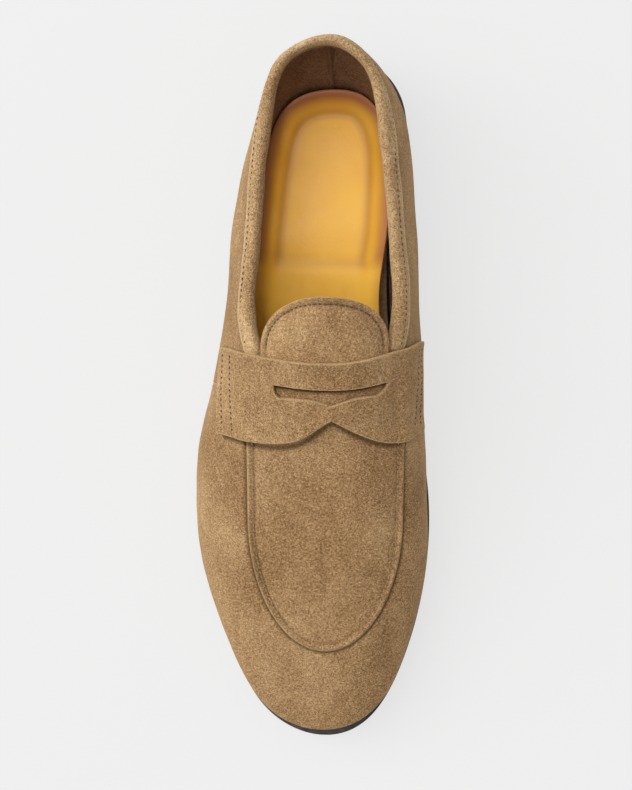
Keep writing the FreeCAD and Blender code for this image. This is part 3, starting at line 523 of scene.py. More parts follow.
class Graph:
    """Short names for building node trees."""

    def __init__(self, tree, place="Object"):
        self.tree = tree
        self.place = tree.nodes.new("ShaderNodeTexCoord").outputs[place]

    def put(self, value, target):
        if hasattr(value, "is_output"):
            self.tree.links.new(value, target)
        else:
            target.default_value = value

    def fill(self, made, **named):
        for name, value in named.items():
            self.put(value, made.inputs[name.replace("_", " ")])

    def node(self, kind, *ordered, **named):
        """New node; ordered values go to its first inputs, named ones to the inputs with those names."""
        made = self.tree.nodes.new(kind)
        for value, target in zip(ordered, made.inputs):
            self.put(value, target)
        self.fill(made, **named)
        return made

    def stretch(self, factors):
        return self.node("ShaderNodeMapping", Vector=self.place, Scale=factors).outputs[0]

    def noise(self, scale, detail=3.0, rough=0.55, vector=None, distort=0.0):
        made = self.node("ShaderNodeTexNoise", Vector=vector or self.place, Scale=scale, Detail=detail,
                         Roughness=rough, Distortion=distort)
        return made.outputs["Fac"]

    def voronoi(self, scale):
        return self.node("ShaderNodeTexVoronoi", Vector=self.place, Scale=scale).outputs["Distance"]

    def math(self, how, a, b=0.0, clamp=False):
        made = self.node("ShaderNodeMath", a, b)
        made.operation, made.use_clamp = how, clamp
        return made.outputs[0]

    def ramp(self, value, low, high, out_low=0.0, out_high=1.0):
        made = self.node("ShaderNodeMapRange", value, low, high, out_low, out_high)
        made.interpolation_type = "SMOOTHSTEP"
        return made.outputs[0]

    def mix(self, share, a, b):
        made = self.tree.nodes.new("ShaderNodeMix")
        made.data_type = "RGBA"
        for value, target in ((share, 0), (a, 6), (b, 7)):
            self.put(value, made.inputs[target])
        return made.outputs[2]

    def attribute(self, name):
        made = self.tree.nodes.new("ShaderNodeAttribute")
        made.attribute_name = name
        return made.outputs["Fac"]

    def bump(self, height, strength, distance, below=None):
        made = self.node("ShaderNodeBump", Strength=strength, Distance=distance, Height=height)
        if below:
            self.put(below, made.inputs["Normal"])
        return made.outputs[0]


def rgb(*display):
    """Colour from 0-255 display values."""
    return tuple(((c / 255 + 0.055) / 1.055) ** 2.4 if c > 10 else c / 255 / 12.92 for c in display) + (1.0,)


def shade(colour, factor, lift=0.0):
    return tuple(min(c * factor + lift, 1.0) for c in colour[:3]) + (1.0,)


def suede(name, dark, mid, light, seed):
    """Brushed nap: fine light and dark grain over soft patches; raw edges are paler and fuzzier."""
    mat, g, shader = material(name)
    shift = (seed * 0.37, seed * 0.11, seed * 0.23)
    g.place = g.node("ShaderNodeMapping", Vector=g.place, Location=shift).outputs[0]
    patches = g.noise(26.0, 3.0, 0.5)
    brushed = g.noise(90.0, 4.0, 0.6, g.stretch((1.0, 0.5, 1.0)), 0.8)
    nap = g.noise(1050.0, 3.0, 0.65)
    fibres = g.noise(2400.0, 3.0, 0.7)
    value = 0.5
    for noise, weight in ((patches, 0.62), (brushed, 0.5), (nap, 1.35), (fibres, 2.2)):
        value = g.math("ADD", value, g.math("MULTIPLY", g.math("SUBTRACT", noise, 0.5), weight))
    colour = g.mix(g.ramp(value, 0.12, 0.5), dark, mid)
    colour = g.mix(g.ramp(value, 0.5, 0.9), colour, light)
    frayed = g.math("MULTIPLY", g.attribute("rim"), g.ramp(fibres, 0.4, 0.6, 0.25, 0.9))
    colour = g.mix(frayed, colour, light)
    # The groove attribute paints shade into the suede: darker in seam grooves, stitch channels and under the
    # collar roll, and painted shadow beside the strap's edges; on the heel lining it draws the back seam as a
    # dark line.
    colour = g.mix(g.math("MULTIPLY", g.attribute("groove"), 0.8, True), colour, shade(dark, 0.36))
    relief = g.bump(nap, 0.75, 0.0007, g.bump(brushed, 0.4, 0.0009))
    g.fill(shader, Base_Color=colour, Roughness=0.95, Specular_IOR_Level=0.1, Sheen_Weight=0.6,
           Sheen_Roughness=0.4, Sheen_Tint=light, Normal=g.bump(fibres, 0.9, 0.0004, relief))
    return mat


def footbed_leather(name):
    """Smooth vegetable-tanned leather, with painted shade: darker brown where its shade attribute says so."""
    mat, g, shader = material(name)
    patches = g.noise(35.0, 3.0)
    streaks = g.noise(60.0, 3.0, 0.5, g.stretch((1.0, 0.25, 1.0)), 0.8)
    pores = g.voronoi(1500.0)
    colour = g.mix(g.ramp(patches, 0.3, 0.7), rgb(242, 178, 58), rgb(250, 193, 74))
    colour = g.mix(g.ramp(streaks, 0.45, 0.75, 0.0, 0.35), colour, rgb(232, 164, 60))
    # Painted shade: mixes towards dark brown where the footbed's shade attribute is high.
    colour = g.mix(g.math("MULTIPLY", g.attribute("burn"), 1.0, True), colour, rgb(166, 98, 50))
    colour = g.mix(g.ramp(pores, 0.0, 0.25, 0.25, 0.0), colour, rgb(180, 112, 44))
    wrinkle = g.bump(g.noise(260.0, 4.0, 0.6), 0.25, 0.0004)
    g.fill(shader, Base_Color=colour, Roughness=g.ramp(patches, 0.3, 0.7, 0.36, 0.52),
           Specular_IOR_Level=0.25, Coat_Weight=0.05, Coat_Roughness=0.35,
           Normal=g.bump(pores, 0.3, 0.00012, wrinkle))
    return mat


def sole_material(name, tone, layered=0.0, rough=0.5):
    """Inked leather edge or moulded rubber: dark, with scuffs and fine horizontal lines."""
    mat, g, shader = material(name)
    cloud = g.noise(70.0, 4.0, 0.6)
    lines = g.noise(160.0, 3.0, 0.6, g.stretch((0.6, 0.6, 14.0)))
    scuff = g.noise(480.0, 3.0, 0.7)
    pale = shade(tone, 2.1, 0.012)
    colour = g.mix(g.ramp(cloud, 0.35, 0.65), shade(tone, 0.55), tone)
    colour = g.mix(g.ramp(lines, 0.5, 0.72, 0.0, 0.55 * layered), colour, pale)
    colour = g.mix(g.ramp(scuff, 0.62, 0.8, 0.0, 0.4), colour, pale)
    grain = g.bump(lines, 0.4 * layered + 0.05, 0.0003)
    g.fill(shader, Base_Color=colour, Roughness=g.ramp(scuff, 0.3, 0.75, rough - 0.1, rough + 0.25),
           Normal=g.bump(scuff, 0.35, 0.00015, grain))
    return mat


def simple_material(name, a, b, scale, rough, metal=0.0):
    """Two tones in fine patches, with a slight relief."""
    mat, g, shader = material(name)
    noise = g.noise(scale, 4.0, 0.65)
    g.fill(shader, Base_Color=g.mix(g.ramp(noise, 0.35, 0.65), a, b), Metallic=metal,
           Roughness=g.ramp(noise, 0.3, 0.7, rough - 0.08, rough + 0.08), Normal=g.bump(noise, 0.5, 0.0002))
    return mat


def thread_material(name, a, b):
    """Twisted, waxed thread."""
    mat, g, shader = material(name)
    twist = g.noise(2600.0, 2.0, 0.5, g.stretch((1.0, 0.4, 1.0)))
    g.fill(shader, Base_Color=g.mix(g.ramp(twist, 0.35, 0.65), a, b), Roughness=0.6, Sheen_Weight=0.2,
           Normal=g.bump(twist, 0.6, 0.0002))
    return mat


SUEDE_TONES = rgb(116, 84, 52), rgb(168, 132, 91), rgb(212, 178, 134)
suede_mat = suede("suede", *SUEDE_TONES, 1)
apron_mat = suede("apron_suede", *SUEDE_TONES, 5)
strap_mat = suede("strap_suede", *SUEDE_TONES, 9)
tongue_mat = suede("tongue_suede", rgb(124, 90, 56), rgb(178, 140, 97), rgb(220, 186, 140), 13)
collar_mat = suede("collar_suede", rgb(138, 102, 66), rgb(194, 157, 113), rgb(232, 202, 158), 17)
lining_mat = suede("lining_suede", rgb(84, 60, 44), rgb(130, 96, 70), rgb(166, 128, 98), 21)
footbed_mat = footbed_leather("footbed_leather")
sole_mat = sole_material("sole_leather", rgb(48, 40, 35), 1.0, 0.5)
heel_mat = sole_material("heel_stack", rgb(52, 42, 36), 1.0, 0.45)
rubber_mat = sole_material("heel_rubber", rgb(40, 37, 35), 0.2, 0.6)
steel_mat = simple_material("nail_steel", rgb(150, 146, 140), rgb(190, 186, 180), 900.0, 0.35, 1.0)
cork_mat = simple_material("cork", rgb(120, 84, 50), rgb(176, 134, 88), 420.0, 0.9)
board_mat = simple_material("board", rgb(150, 128, 98), rgb(172, 150, 118), 700.0, 0.85)
foam_mat = simple_material("foam", rgb(206, 196, 170), rgb(226, 218, 196), 1400.0, 0.95)
cloth_mat = simple_material("stiff_cloth", rgb(196, 190, 176), rgb(214, 210, 198), 1200.0, 0.9)
pale_thread = thread_material("thread_pale", rgb(150, 120, 84), rgb(184, 152, 112))
# Painted shade: the same tan thread drawn dark, for stitches that sit in shade in their needle holes.
shaded_thread = thread_material("thread_painted_shade", rgb(70, 48, 30), rgb(104, 76, 50))


def finish_piece(obj, mat, nodes, body=None, blend=None):
    """Material, the CAD nodes it stands for, and the body it moves with; a piece given a blend is baked where
    it stands.
    """
    obj.data.materials.clear()
    obj.data.materials.append(mat)
    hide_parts(*nodes)
    if blend:
        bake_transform(obj)
    else:
        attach(obj, body)
    return obj


# The bend at the ball is spread on both sides of the hinge, along a line square to its axis.
HINGE = np.array([0.0, -0.159, 0.006])
FORWARD = np.array([-0.306, -0.952, 0.0])
BEND_HALF = 0.036
TOE_BEND = (("shoe", "forefoot"), tuple(HINGE - FORWARD * BEND_HALF), tuple(HINGE + FORWARD * BEND_HALF))
FLAP_BEND = (("shoe", "tongue_flap"), (0.0026, -0.1045, 0.080), (0.0026, -0.0945, 0.080))


# ---- upper pieces
def suede_waves(points, height, seed):
    return wobble(points, 42.0, seed) * height + wobble(points, 17.0, seed + 1) * height * 0.35


def raise_grid(grid, amount):
    """Moves each point of a grid along the grid's own normal."""
    du, dv = np.gradient(grid, axis=0), np.gradient(grid, axis=1)
    normal = unit(np.cross(du, dv))
    guide = grid - BELOW_SHOE
    if (normal * guide).sum() < 0:
        normal = -normal
    return grid + normal * amount[..., None]


def gap_from_top(grid):
    """Distance along each row of a grid from its last column."""
    return run_length(grid[:, ::-1])[:, ::-1]


def lift_along(grid, amount):
    """Moves a grid of the dome along its normal; the row on the ridge keeps its two halves together."""
    normal = unit(np.cross(np.gradient(grid, axis=0), np.gradient(grid, axis=1)))
    normal = np.where(normal[..., 2:] < 0, -normal, normal)
    top = normal[:, -1] * np.array([0.0, 1.0, 1.0])
    mirrored = unit(top + top[::-1])
    blend = np.linspace(0, 1, grid.shape[1])[None, :, None] ** 6
    normal = unit(normal * (1 - blend) + mirrored[:, None] * blend)
    amount = amount.copy()
    amount[:, -1] = (amount[:, -1] + amount[::-1, -1]) / 2
    moved = grid + normal * amount[..., None]
    moved[:, -1] = (moved[:, -1] + moved[::-1, -1]) / 2
    return moved


def build_skirt():
    t = paired(SKIRT_BACK, 200)
    grid = wall(t, seam_angle(t, 0.35), 84)
    gap = gap_from_top(grid)
    sink = -0.75 * bump(gap, 0.0, 1.3) + suede_waves(grid, 0.22, 3) * ease(gap / 6.0)
    grid = raise_grid(grid, sink)
    # groove: painted shade along the skirt's top edge in the seam beside the apron's welt, and painted shadow
    # beside the strap.
    obj = shell("vamp_skirt_leather", grid, SUEDE, groove=bump(gap, 0.0, 0.9) + strap_shadow(grid))
    finish_piece(obj, suede_mat, ["vamp_skirt"], blend=TOE_BEND)
    lining = wall(t, seam_angle(t, 1.2), 40, LINING_DEPTH)
    obj = shell("vamp_skirt_lining", lining, LINING)
    finish_piece(obj, lining_mat, ["skirt_lining"], blend=TOE_BEND)
    t = np.linspace(TOE - 3.0, TOE + 3.0, 60)
    obj = shell("toe_puff_cloth", wall(t, seam_angle(t, 2.6), 30, SUEDE + CEMENT), STIFFENER)
    finish_piece(obj, cloth_mat, ["toe_puff"], body="forefoot")


def build_apron():
    t = paired(APRON_BACK, 220)
    low = seam_angle(t, -0.2)

    def dome(shares):
        return np.stack([outside(t, low + (math.pi / 2 - low) * share) for share in shares], 1)

    grid = dome(np.concatenate([np.linspace(0, 0.25, 26)[:-1], np.linspace(0.25, 1, 46)]))
    inside = run_length(grid)
    welt = 1.3 * bump(inside, 1.3, 1.25) - 0.15 * bump(inside, 3.4, 1.0)
    waves = suede_waves(grid, 0.28, 7) * ease(inside / 8.0)
    grid = lift_along(grid, welt + waves)
    # groove: painted shade in the stitch channel inside the welt, and painted shadow beside the strap.
    obj = shell("apron_leather", grid, SUEDE, groove=0.3 * bump(inside, 3.3, 0.6) + strap_shadow(grid))
    finish_piece(obj, apron_mat, ["apron"], blend=TOE_BEND)
    flat = dome(np.linspace(0.04, 1, 30))
    flat = lift_along(flat, np.full(flat.shape[:2], -SUEDE - CEMENT))
    obj = shell("apron_lining_leather", flat, LINING)
    finish_piece(obj, lining_mat, ["apron_lining"], blend=TOE_BEND)

    t = paired(-130.0, 260)
    at = seam_angle(t, -2.7)
    points, normals = outside(t, at), outward(t, at)
    row = stitch_row(points, normals, pitch=2.1, length=0.62, radius=0.28, lift=0.55, slant=0.12)
    obj = stitches("apron_thread", [row])
    finish_piece(obj, pale_thread, ["apron_stitching"], blend=TOE_BEND)


def lean_to_footbed(t, grid):
    """Round the heel the lining comes in to the edge of the footbed, and creases beside its seam."""
    high = grid[..., 2] - sole_top(grid[..., 1])
    foot = grid[np.arange(len(grid)), abs(high - 9.0).argmin(1)]
    border = footbed_edge(np.linspace(0, len(FOOTBED_EDGE), 900))
    reach = edge_distance(foot[:, :2], border) - LINING - 0.4
    share = ease((high - 6.4) / 1.4) * (1 - ease((high - 9.0) / 34.0))
    back = ease((grid[..., 1] + 36.0) / 18.0)
    crease = 0.5 * np.cos(grid[..., 0] * 1.9) * bump(grid[..., 0], 0.0, 4.0) * back * ease((high - 8) / 5)
    amount = share * reach[:, None] * back + crease
    inward = inward_level(t, widest)
    grid = grid.copy()
    grid[..., :2] += inward[:, None] * amount[..., None]
    return grid


def build_quarters():
    drop, count = ROLL_DROP + 0.6, 130
    for side, inner in (("lateral", False), ("medial", True)):
        edge = float(side_station(QUARTER_FRONT, inner))
        t = np.linspace(0.004, edge, count) if not inner else np.linspace(edge, STATIONS - 0.004, count)
        grid = wall(t, quarter_top(t, drop), 70)
        gap = gap_from_top(grid)
        behind = ease((widest(t)[:, 1] + 100) / 6)[:, None]
        dent = -0.7 * bump(gap, 0.0, 2.2) * behind
        # The front end of the quarter slips under the skirt.
        lap = -(SUEDE + 0.15) * ease((-grid[..., 1] - 113.4) / 1.8)
        grid = raise_grid(grid, suede_waves(grid, 0.3, 11) * ease(gap / 8) + dent + lap)
        # Painted shade along the top of the quarter under the collar roll's lip, and painted shadow beside
        # the strap.
        groove = (0.8 * bump(gap, 0.0, 1.3) + 0.3 * bump(gap, 0.0, 5.0)) * behind + strap_shadow(grid)
        obj = shell("quarter_%s_leather" % side, grid, SUEDE, groove=groove)
        finish_piece(obj, suede_mat, ["quarter_" + side], body="shoe")
        lining = wall(t, quarter_top(t, drop - 1.4), 64, LINING_DEPTH)
        lining = lean_to_footbed(t, raise_grid(lining, suede_waves(lining, 0.15, 15)))
        seam = 0.6 * bump(lining[..., 0], 0.0, 0.8) * ease((lining[..., 1] - 4) / 6)
        obj = shell("quarter_%s_lining" % side, lining, LINING, groove=seam)
        finish_piece(obj, lining_mat, ["quarter_lining_" + side], body="shoe")
    t = np.linspace(STATIONS - 3.0, STATIONS + 3.0, 60)
    top = height_angle(t, lambda y: sole_top(y) + 18.0 + 22.0 * ease((y + 52) / 45.0))
    obj = shell("heel_counter_cloth", wall(t, top, 30, SUEDE + CEMENT), STIFFENER)
    finish_piece(obj, cloth_mat, ["heel_counter"], body="shoe")


# Section of the collar roll: (level distance outward, height) from a point on the wall below the topline.
# The part on the inner side of the lip stretches with the width of the roll.
ROLL = np.array([
    (0.45, -0.45), (0.8, 0.35), (0.8, 1.7), (0.4, 3.2), (-0.7, 4.8), (-2.2, 5.7), (-3.7, 5.4), (-4.7, 4.1),
    (-5.1, 2.3), (-4.9, 0.3), (-4.3, -1.1), (-3.2, -1.5), (-1.6, -1.1), (-0.3, -0.75),
])
# Along the sides its outer edge is a lip that stands out over the quarter.
ROLL_SIDE = ROLL.copy()
ROLL_SIDE[:4] = (1.0, -0.5), (1.75, 0.3), (1.35, 1.5), (0.5, 3.1)
ROLL_DROP, ROLL_WIDTH = 5.0, 5.6
roll_width = spline(((-100, 6.4), (-70, 5.9), (-50, 5.6), (-20, 5.6), (0, 5.0), (12, 4.2), (24, 3.7)))


def build_collar():
    first, last = float(side_station(-105.0, True)), float(side_station(-109.0, False)) + STATIONS
    t = np.linspace(first, last, 340)
    angle = topline_angle(t, ROLL_DROP)
    base, level = outside(t, angle), unit(outward(t, angle) * np.array([1.0, 1.0, 0.0]))
    around = np.linspace(0, len(ROLL), 64, endpoint=False)
    profile, lipped = periodic(ROLL)(around), periodic(ROLL_SIDE)(around)
    side = ease((8.0 - base[:, 1]) / 18.0)[:, None]
    out, rise = (profile[None, :, k] * (1 - side) + lipped[None, :, k] * side for k in (0, 1))
    stretch = (roll_width(base[:, 1]) / ROLL_WIDTH)[:, None]
    sections = base[:, None] + level[:, None] * np.where(out < 0, out * stretch, out)[..., None]
    sections[..., 2] += rise
    # Towards its ends the roll flattens and dives under the strap.
    start = np.where(base[:, 0] < 0, -99.8, -96.8)
    dive = ease((start - base[:, 1]) / 6.0)[:, None, None]
    root = base[:, None] - level[:, None] * 2.6 + np.array([0.0, 0.0, -1.2])
    sections = root + (sections - root) * (1 - 0.45 * dive) - np.array([0.0, 0.0, 1.4]) * dive
    lumps = wobble(sections, 24.0, 31) * 0.22 + wobble(sections, 8.0, 33) * 0.07
    centre = sections.mean(1, keepdims=True)
    sections = sections + unit(sections - centre) * lumps[..., None]
    # Painted shade: darker under the roll's outer lip and on its inner wall above the lining.
    lip = np.clip(1 - abs(profile[:, 1] + 0.5) / 0.9, 0, 1) * (profile[:, 0] > -1.0)
    edge = bump(lipped[:, 1], 0.9, 0.8) * (lipped[:, 0] > 0.9)
    inner = ease((-profile[:, 0] - 3.6) / 1.2) * 0.5 * ease((3.4 - profile[:, 1]) / 3.0)
    obj = tube("collar_roll_leather", sections, groove=(0.5 * lip + inner)[None, :], rim=edge[None, :] * side)
    finish_piece(obj, collar_mat, ["collar_roll", "collar_cord"], body="shoe")
    # The row of stitches is low on the heel and climbs to the shoulder of the roll along the sides.
    climb = 1.3 + 2.0 * ease((4.0 - base[:, 1]) / 34.0)
    spot = periodic(ROLL)(climb) * (1 - side) + periodic(ROLL_SIDE)(climb) * side
    tilt = ((climb - 1.3) / 2.0)[:, None]
    points = base + level * (spot[:, :1] - 0.3 * (1 - tilt)) + np.array([0.0, 0.0, 1.0]) * spot[:, 1:]
    facing = unit(level + np.array([0.0, 0.0, 0.9]) * tilt)
    clear = dive[:, 0, 0] < 0.05
    row = stitch_row(points[clear], facing[clear], pitch=2.4, length=0.6, radius=0.26, lift=0.1)
    obj = stitches("collar_thread", [row])
    finish_piece(obj, shaded_thread, ["collar_stitching"], body="shoe")


def build_back_seam():
    rows = []
    for t in (0.075, STATIONS - 0.075):
        line = wall(np.array([t]), quarter_top(np.array([t]), 7.0), 90)[0]
        inward = inward_level(np.array([t]), widest)[0]
        normal = np.tile([-inward[0], -inward[1], 0.0], (len(line), 1))
        rows.append(stitch_row(line[6:], normal[6:], pitch=2.8, length=0.64, radius=0.26, lift=0.08))
    obj = stitches("back_seam_thread", rows)
    finish_piece(obj, shaded_thread, ["back_seam_stitching"], body="shoe")


# ---- strap and tongue
STRAP_END = (50.0, 41.0)  # height of the outer and the inner end of the strap
STRAP_ROWS = (0.034, 0.095, 0.895, 0.955)  # rows of stitches, as shares of the way across
FRONT_POINT, SLOT_POINT = 5.6, 5.2  # x of the points in the strap's front edge and in its slot
SLOT_ENDS = (-17.6, 26.2)
SLOT_MIDDLE = sum(SLOT_ENDS) / 2


def instep_table():
    """Positions over the instep: (y row, share of the way from the outer to the inner end)."""
    ys = np.linspace(-150.0, -84.0, 67)
    lateral, medial = side_station(ys, False), side_station(ys, True)
    top = math.pi / 2
    rows = []
    for t, flip in ((lateral, False), (medial, True)):
        low = height_angle(t, lambda y: np.full(y.shape, STRAP_END[flip]))
        side = np.stack([outside(t, low + (top - low) * s) for s in np.linspace(0, 1, 70)], 1)
        rows.append(side[:, ::-1] if flip else side)
    joined = np.concatenate([rows[0], rows[1][:, 1:]], 1)
    return ys, resample(joined, 260)


INSTEP_Y, INSTEP = instep_table()


def on_instep(share, y):
    """Point over the instep for arrays of shares and y."""
    v = np.clip((y - INSTEP_Y[0]) / (INSTEP_Y[1] - INSTEP_Y[0]), 0, len(INSTEP_Y) - 1.001)
    u = np.clip(share * (INSTEP.shape[1] - 1), 0, INSTEP.shape[1] - 1.001)
    i, j = v.astype(int), u.astype(int)
    fv, fu = (v - i)[..., None], (u - j)[..., None]
    return ((INSTEP[i, j] * (1 - fu) + INSTEP[i, j + 1] * fu) * (1 - fv)
            + (INSTEP[i + 1, j] * (1 - fu) + INSTEP[i + 1, j + 1] * fu) * fv)


strap_back = spline((
    (-60, -97.6), (-45.0, -98.9), (-39.5, -99.5), (-25.5, -102.2), (-4.0, -104.8), (20.0, -102.6),
    (33.0, -97.6), (40.5, -93.9), (50, -90.5),
))
front_outer = spline((
    (-60, -134.0), (-45, -134.4), (-36.0, -135.9), (-28.0, -137.8), (-14.5, -138.6), (-6.5, -136.6),
    (0.5, -131.6), (5.6, -127.9),
))
front_inner = spline((
    (5.6, -127.9), (10.5, -130.4), (17.0, -133.6), (25.5, -136.2), (33.0, -135.2), (42.0, -129.2),
    (54, -124.5),
))
slot_back = spline((
    (-30, -112.6), (-18.0, -113.6), (-4.0, -114.9), (8.0, -114.8), (18.0, -113.5), (27.5, -111.0),
    (40, -108.5),
))
slot_outer = spline((
    (-30, -118.2), (-16.5, -119.3), (-8.0, -119.6), (-2.0, -120.2), (2.0, -121.2), (5.2, -122.3),
))
slot_inner = spline((
    (5.2, -122.3), (9.0, -121.0), (14.4, -118.7), (20.0, -117.6), (24.5, -116.8), (40, -114.0),
))


def front_edge(x):
    return np.where(x < FRONT_POINT, front_outer(x), front_inner(x))


def slot_front(x):
    return np.where(x < SLOT_POINT, slot_outer(x), slot_inner(x))


def strap_shadow(grid):
    """Painted shadow beside the strap's front edge, under the back edge of its slot and beside its ends."""
    x, y = grid[..., 0], grid[..., 1]
    level = np.where(x < 0, STRAP_END[0], STRAP_END[1])
    high = ease((grid[..., 2] - level) / 1.5)
    front = bump(y - front_edge(x) + 0.8, 0.0, 1.3)
    slot = bump(y - slot_back(x) + 0.6, 0.0, 1.1) * ease((24.5 - abs(x - SLOT_MIDDLE)) / 3.0)
    between = ease((y - front_edge(x)) / 1.5) * ease((strap_back(x) - y) / 1.5)
    ends = bump(grid[..., 2] - level + 0.7, 0.0, 0.9) * between
    return (front + 1.6 * slot) * high + 0.9 * ends


def edge_y(share, curve):
    """y on a plan curve for each share across the strap."""
    y = np.full(share.shape, -115.0)
    for _ in range(12):
        y = curve(on_instep(share, y)[..., 0])
    return y


def strap_cells(share, counts):
    """Which cells of the strap are leather; the ends of the slot are rounded towards its front."""
    x = on_instep(share, np.full(share.shape, -116.0))[:, 0]
    outer_end, inner_end = (int(np.argmin(abs(x - end))) for end in SLOT_ENDS)
    keep = np.ones((sum(counts), len(share) - 1), bool)
    for row in range(counts[1]):
        down = row / (counts[1] - 1)
        left = outer_end + round(6 * down ** 4)
        right = inner_end - round(4 * down + 6 * down ** 5)
        keep[counts[0] + row, left:right] = False
    return keep


def strap_relief(share, grid, ys, lines):
    """How far the strap stands off the upper: it lies over the welt, curls at its edges and creases."""
    x, y = grid[..., 0], grid[..., 1]
    from_back, from_front, ahead = abs(ys - lines[0]), abs(ys - lines[3]), ys - lines[1]
    edge = np.minimum(from_back, from_front)
    over_welt = 0.75 * bump(x, -31.0, 3.2) + 1.35 * bump(x, 33.4, 2.8)
    # Threads pull the ends down; the front edge stands a little off the vamp.
    free = 0.55 + 0.45 * bump(x, 4.0, 22.0)
    curl = 1.1 * bump(from_front, 0.0, 3.5) * free + 0.35 * bump(from_back, 0.0, 3.0)
    curl = curl + 0.9 * bump(ahead, 0.0, 2.6) * bump(x, SLOT_MIDDLE, 22.0)
    pinch = -0.3 * sum(bump(share, row, 0.008) for row in STRAP_ROWS)[None, :]
    creases = 0.22 * np.cos(x * 1.45 + 0.02 * y) * bump(x, 31.0, 5.5) * ease(edge / 4)
    waves = suede_waves(grid, 0.22, 41) * ease(edge / 5 + 0.3)
    return 0.55 + SUEDE + over_welt + curl + pinch + creases + waves


def build_strap():
    share = np.linspace(0.0, 1.0, 321)
    lines = [edge_y(share, curve) for curve in (strap_back, slot_back, slot_front, front_edge)]
    counts = (20, 12, 26)
    ys = []
    for a, b, n in zip(lines, lines[1:], counts):
        ys += [a + (b - a) * s for s in np.linspace(0, 1, n, endpoint=False)]
    ys = np.stack(ys + [lines[-1]], 0)
    grid = on_instep(np.broadcast_to(share, ys.shape), ys)
    grid = raise_grid(grid, strap_relief(share, grid, ys, lines))
    obj = shell("saddle_strap_leather", grid, 1.5, keep=strap_cells(share, counts), lip=0.22)
    finish_piece(obj, strap_mat, ["saddle_strap"], body="shoe")

    rows = []
    for at in STRAP_ROWS:
        line = grid[3:-3, round(at * (len(share) - 1))]
        normal = unit(line - np.array([2.0, -115.0, 10.0]))
        line, normal = (resample(values[None], 120)[0] for values in (line, normal))
        rows.append(stitch_row(line, unit(normal), pitch=2.3, length=0.56, radius=0.36, lift=0.12))
    obj = stitches("saddle_thread", rows)
    finish_piece(obj, shaded_thread, ["saddle_stitching"], body="shoe")


def over(x, y):
    """Height of the outside surface over plan points behind the toe pole."""
    lateral, medial = widest(side_station(y, False)), widest(side_station(y, True))
    out = np.where((x < 3.0)[..., None], lateral, medial)
    sx, sy = spine(y)
    rho = np.clip(abs(x - sx) / abs(out[..., 0] - sx), 0, 0.999)
    base = sole_top(y) + belly_z(y)
    return base + (ridge_z(y) - base) * (1 - rho ** out[..., 2]) ** (1 / out[..., 2])


def tongue_grid(inset, count=(120, 44)):
    """Plan grid of the tongue: fans from its root line to its round border."""
    shoulder, tip = -100.5, TONGUE_TIP - inset
    a = np.linspace(math.pi, 0, 81)
    outer = np.cos(a) < 0
    half = np.where(outer, 26.0, 25.4) - inset
    power = np.where(outer, 0.90, 0.70)
    # Round front: a superellipse above the shoulders, squarer on the inner side.
    curve_x = TONGUE_X + half * np.sign(np.cos(a)) * abs(np.cos(a)) ** power
    curve_y = shoulder + (tip - shoulder) * np.sin(a) ** power
    left = np.stack([np.full(9, curve_x[0]), np.linspace(TONGUE_ROOT, shoulder, 9)], 1)
    right = np.stack([np.full(9, curve_x[-1]), np.linspace(shoulder, TONGUE_ROOT, 9)], 1)
    border = np.concatenate([left[:-1], np.stack([curve_x, curve_y], 1), right[1:]])
    border = resample(np.column_stack([border, np.zeros(len(border))])[None], count[0])[0, :, :2]
    root = np.stack([np.linspace(curve_x[0], curve_x[-1], count[0]), np.full(count[0], TONGUE_ROOT)], 1)
    shares = 1 - np.linspace(0, 1, count[1]) ** 1.5
    return root[:, None] + (border - root)[:, None] * shares[None, :, None], border


def build_tongue():
    plan, border = tongue_grid(0.0)
    x, y = plan[..., 0], plan[..., 1]
    grid = np.stack([x, y, over(x, y)], -1)
    d = np.min(np.linalg.norm(plan[:, :, None] - border[None, None, ::2], axis=-1), -1)
    behind = ease((y + 104.5) / 5.0)
    bead = 0.55 * bump(d, 0.9, 0.9) - 0.35 * bump(d, 2.4, 0.7)
    puff = 0.9 * ease((d - 3.0) / 9.0) * behind
    amount = 0.15 + bead * behind + puff + suede_waves(grid, 0.16, 51)
    grid = grid + np.array([0, 0, 1.0]) * amount[..., None]
    # groove: painted shade in the stitch channel inside the tongue's bead.
    obj = shell("tongue_leather", grid, 1.5, lip=0.3, up=up_only, groove=0.55 * bump(d, 2.4, 0.5) * behind)
    finish_piece(obj, tongue_mat, ["tongue"], blend=FLAP_BEND)
    plan, _ = tongue_grid(0.6, (100, 24))
    x, y = plan[..., 0], plan[..., 1]
    lining = np.stack([x, y, over(x, y) - 1.55], -1)
    obj = shell("tongue_lining_leather", lining, LINING, up=up_only)
    finish_piece(obj, lining_mat, ["tongue_lining"], blend=FLAP_BEND)
    _, line = tongue_grid(2.4, (260, 4))
    line = line[line[:, 1] > -99.0]
    points = np.column_stack([line, over(line[:, 0], line[:, 1]) - 0.2])
    row = stitch_row(points, up_only(points), pitch=2.1, length=0.6, radius=0.3, lift=0.2)
    obj = stitches("tongue_thread", [row])
    finish_piece(obj, shaded_thread, ["tongue_stitching"], blend=FLAP_BEND)


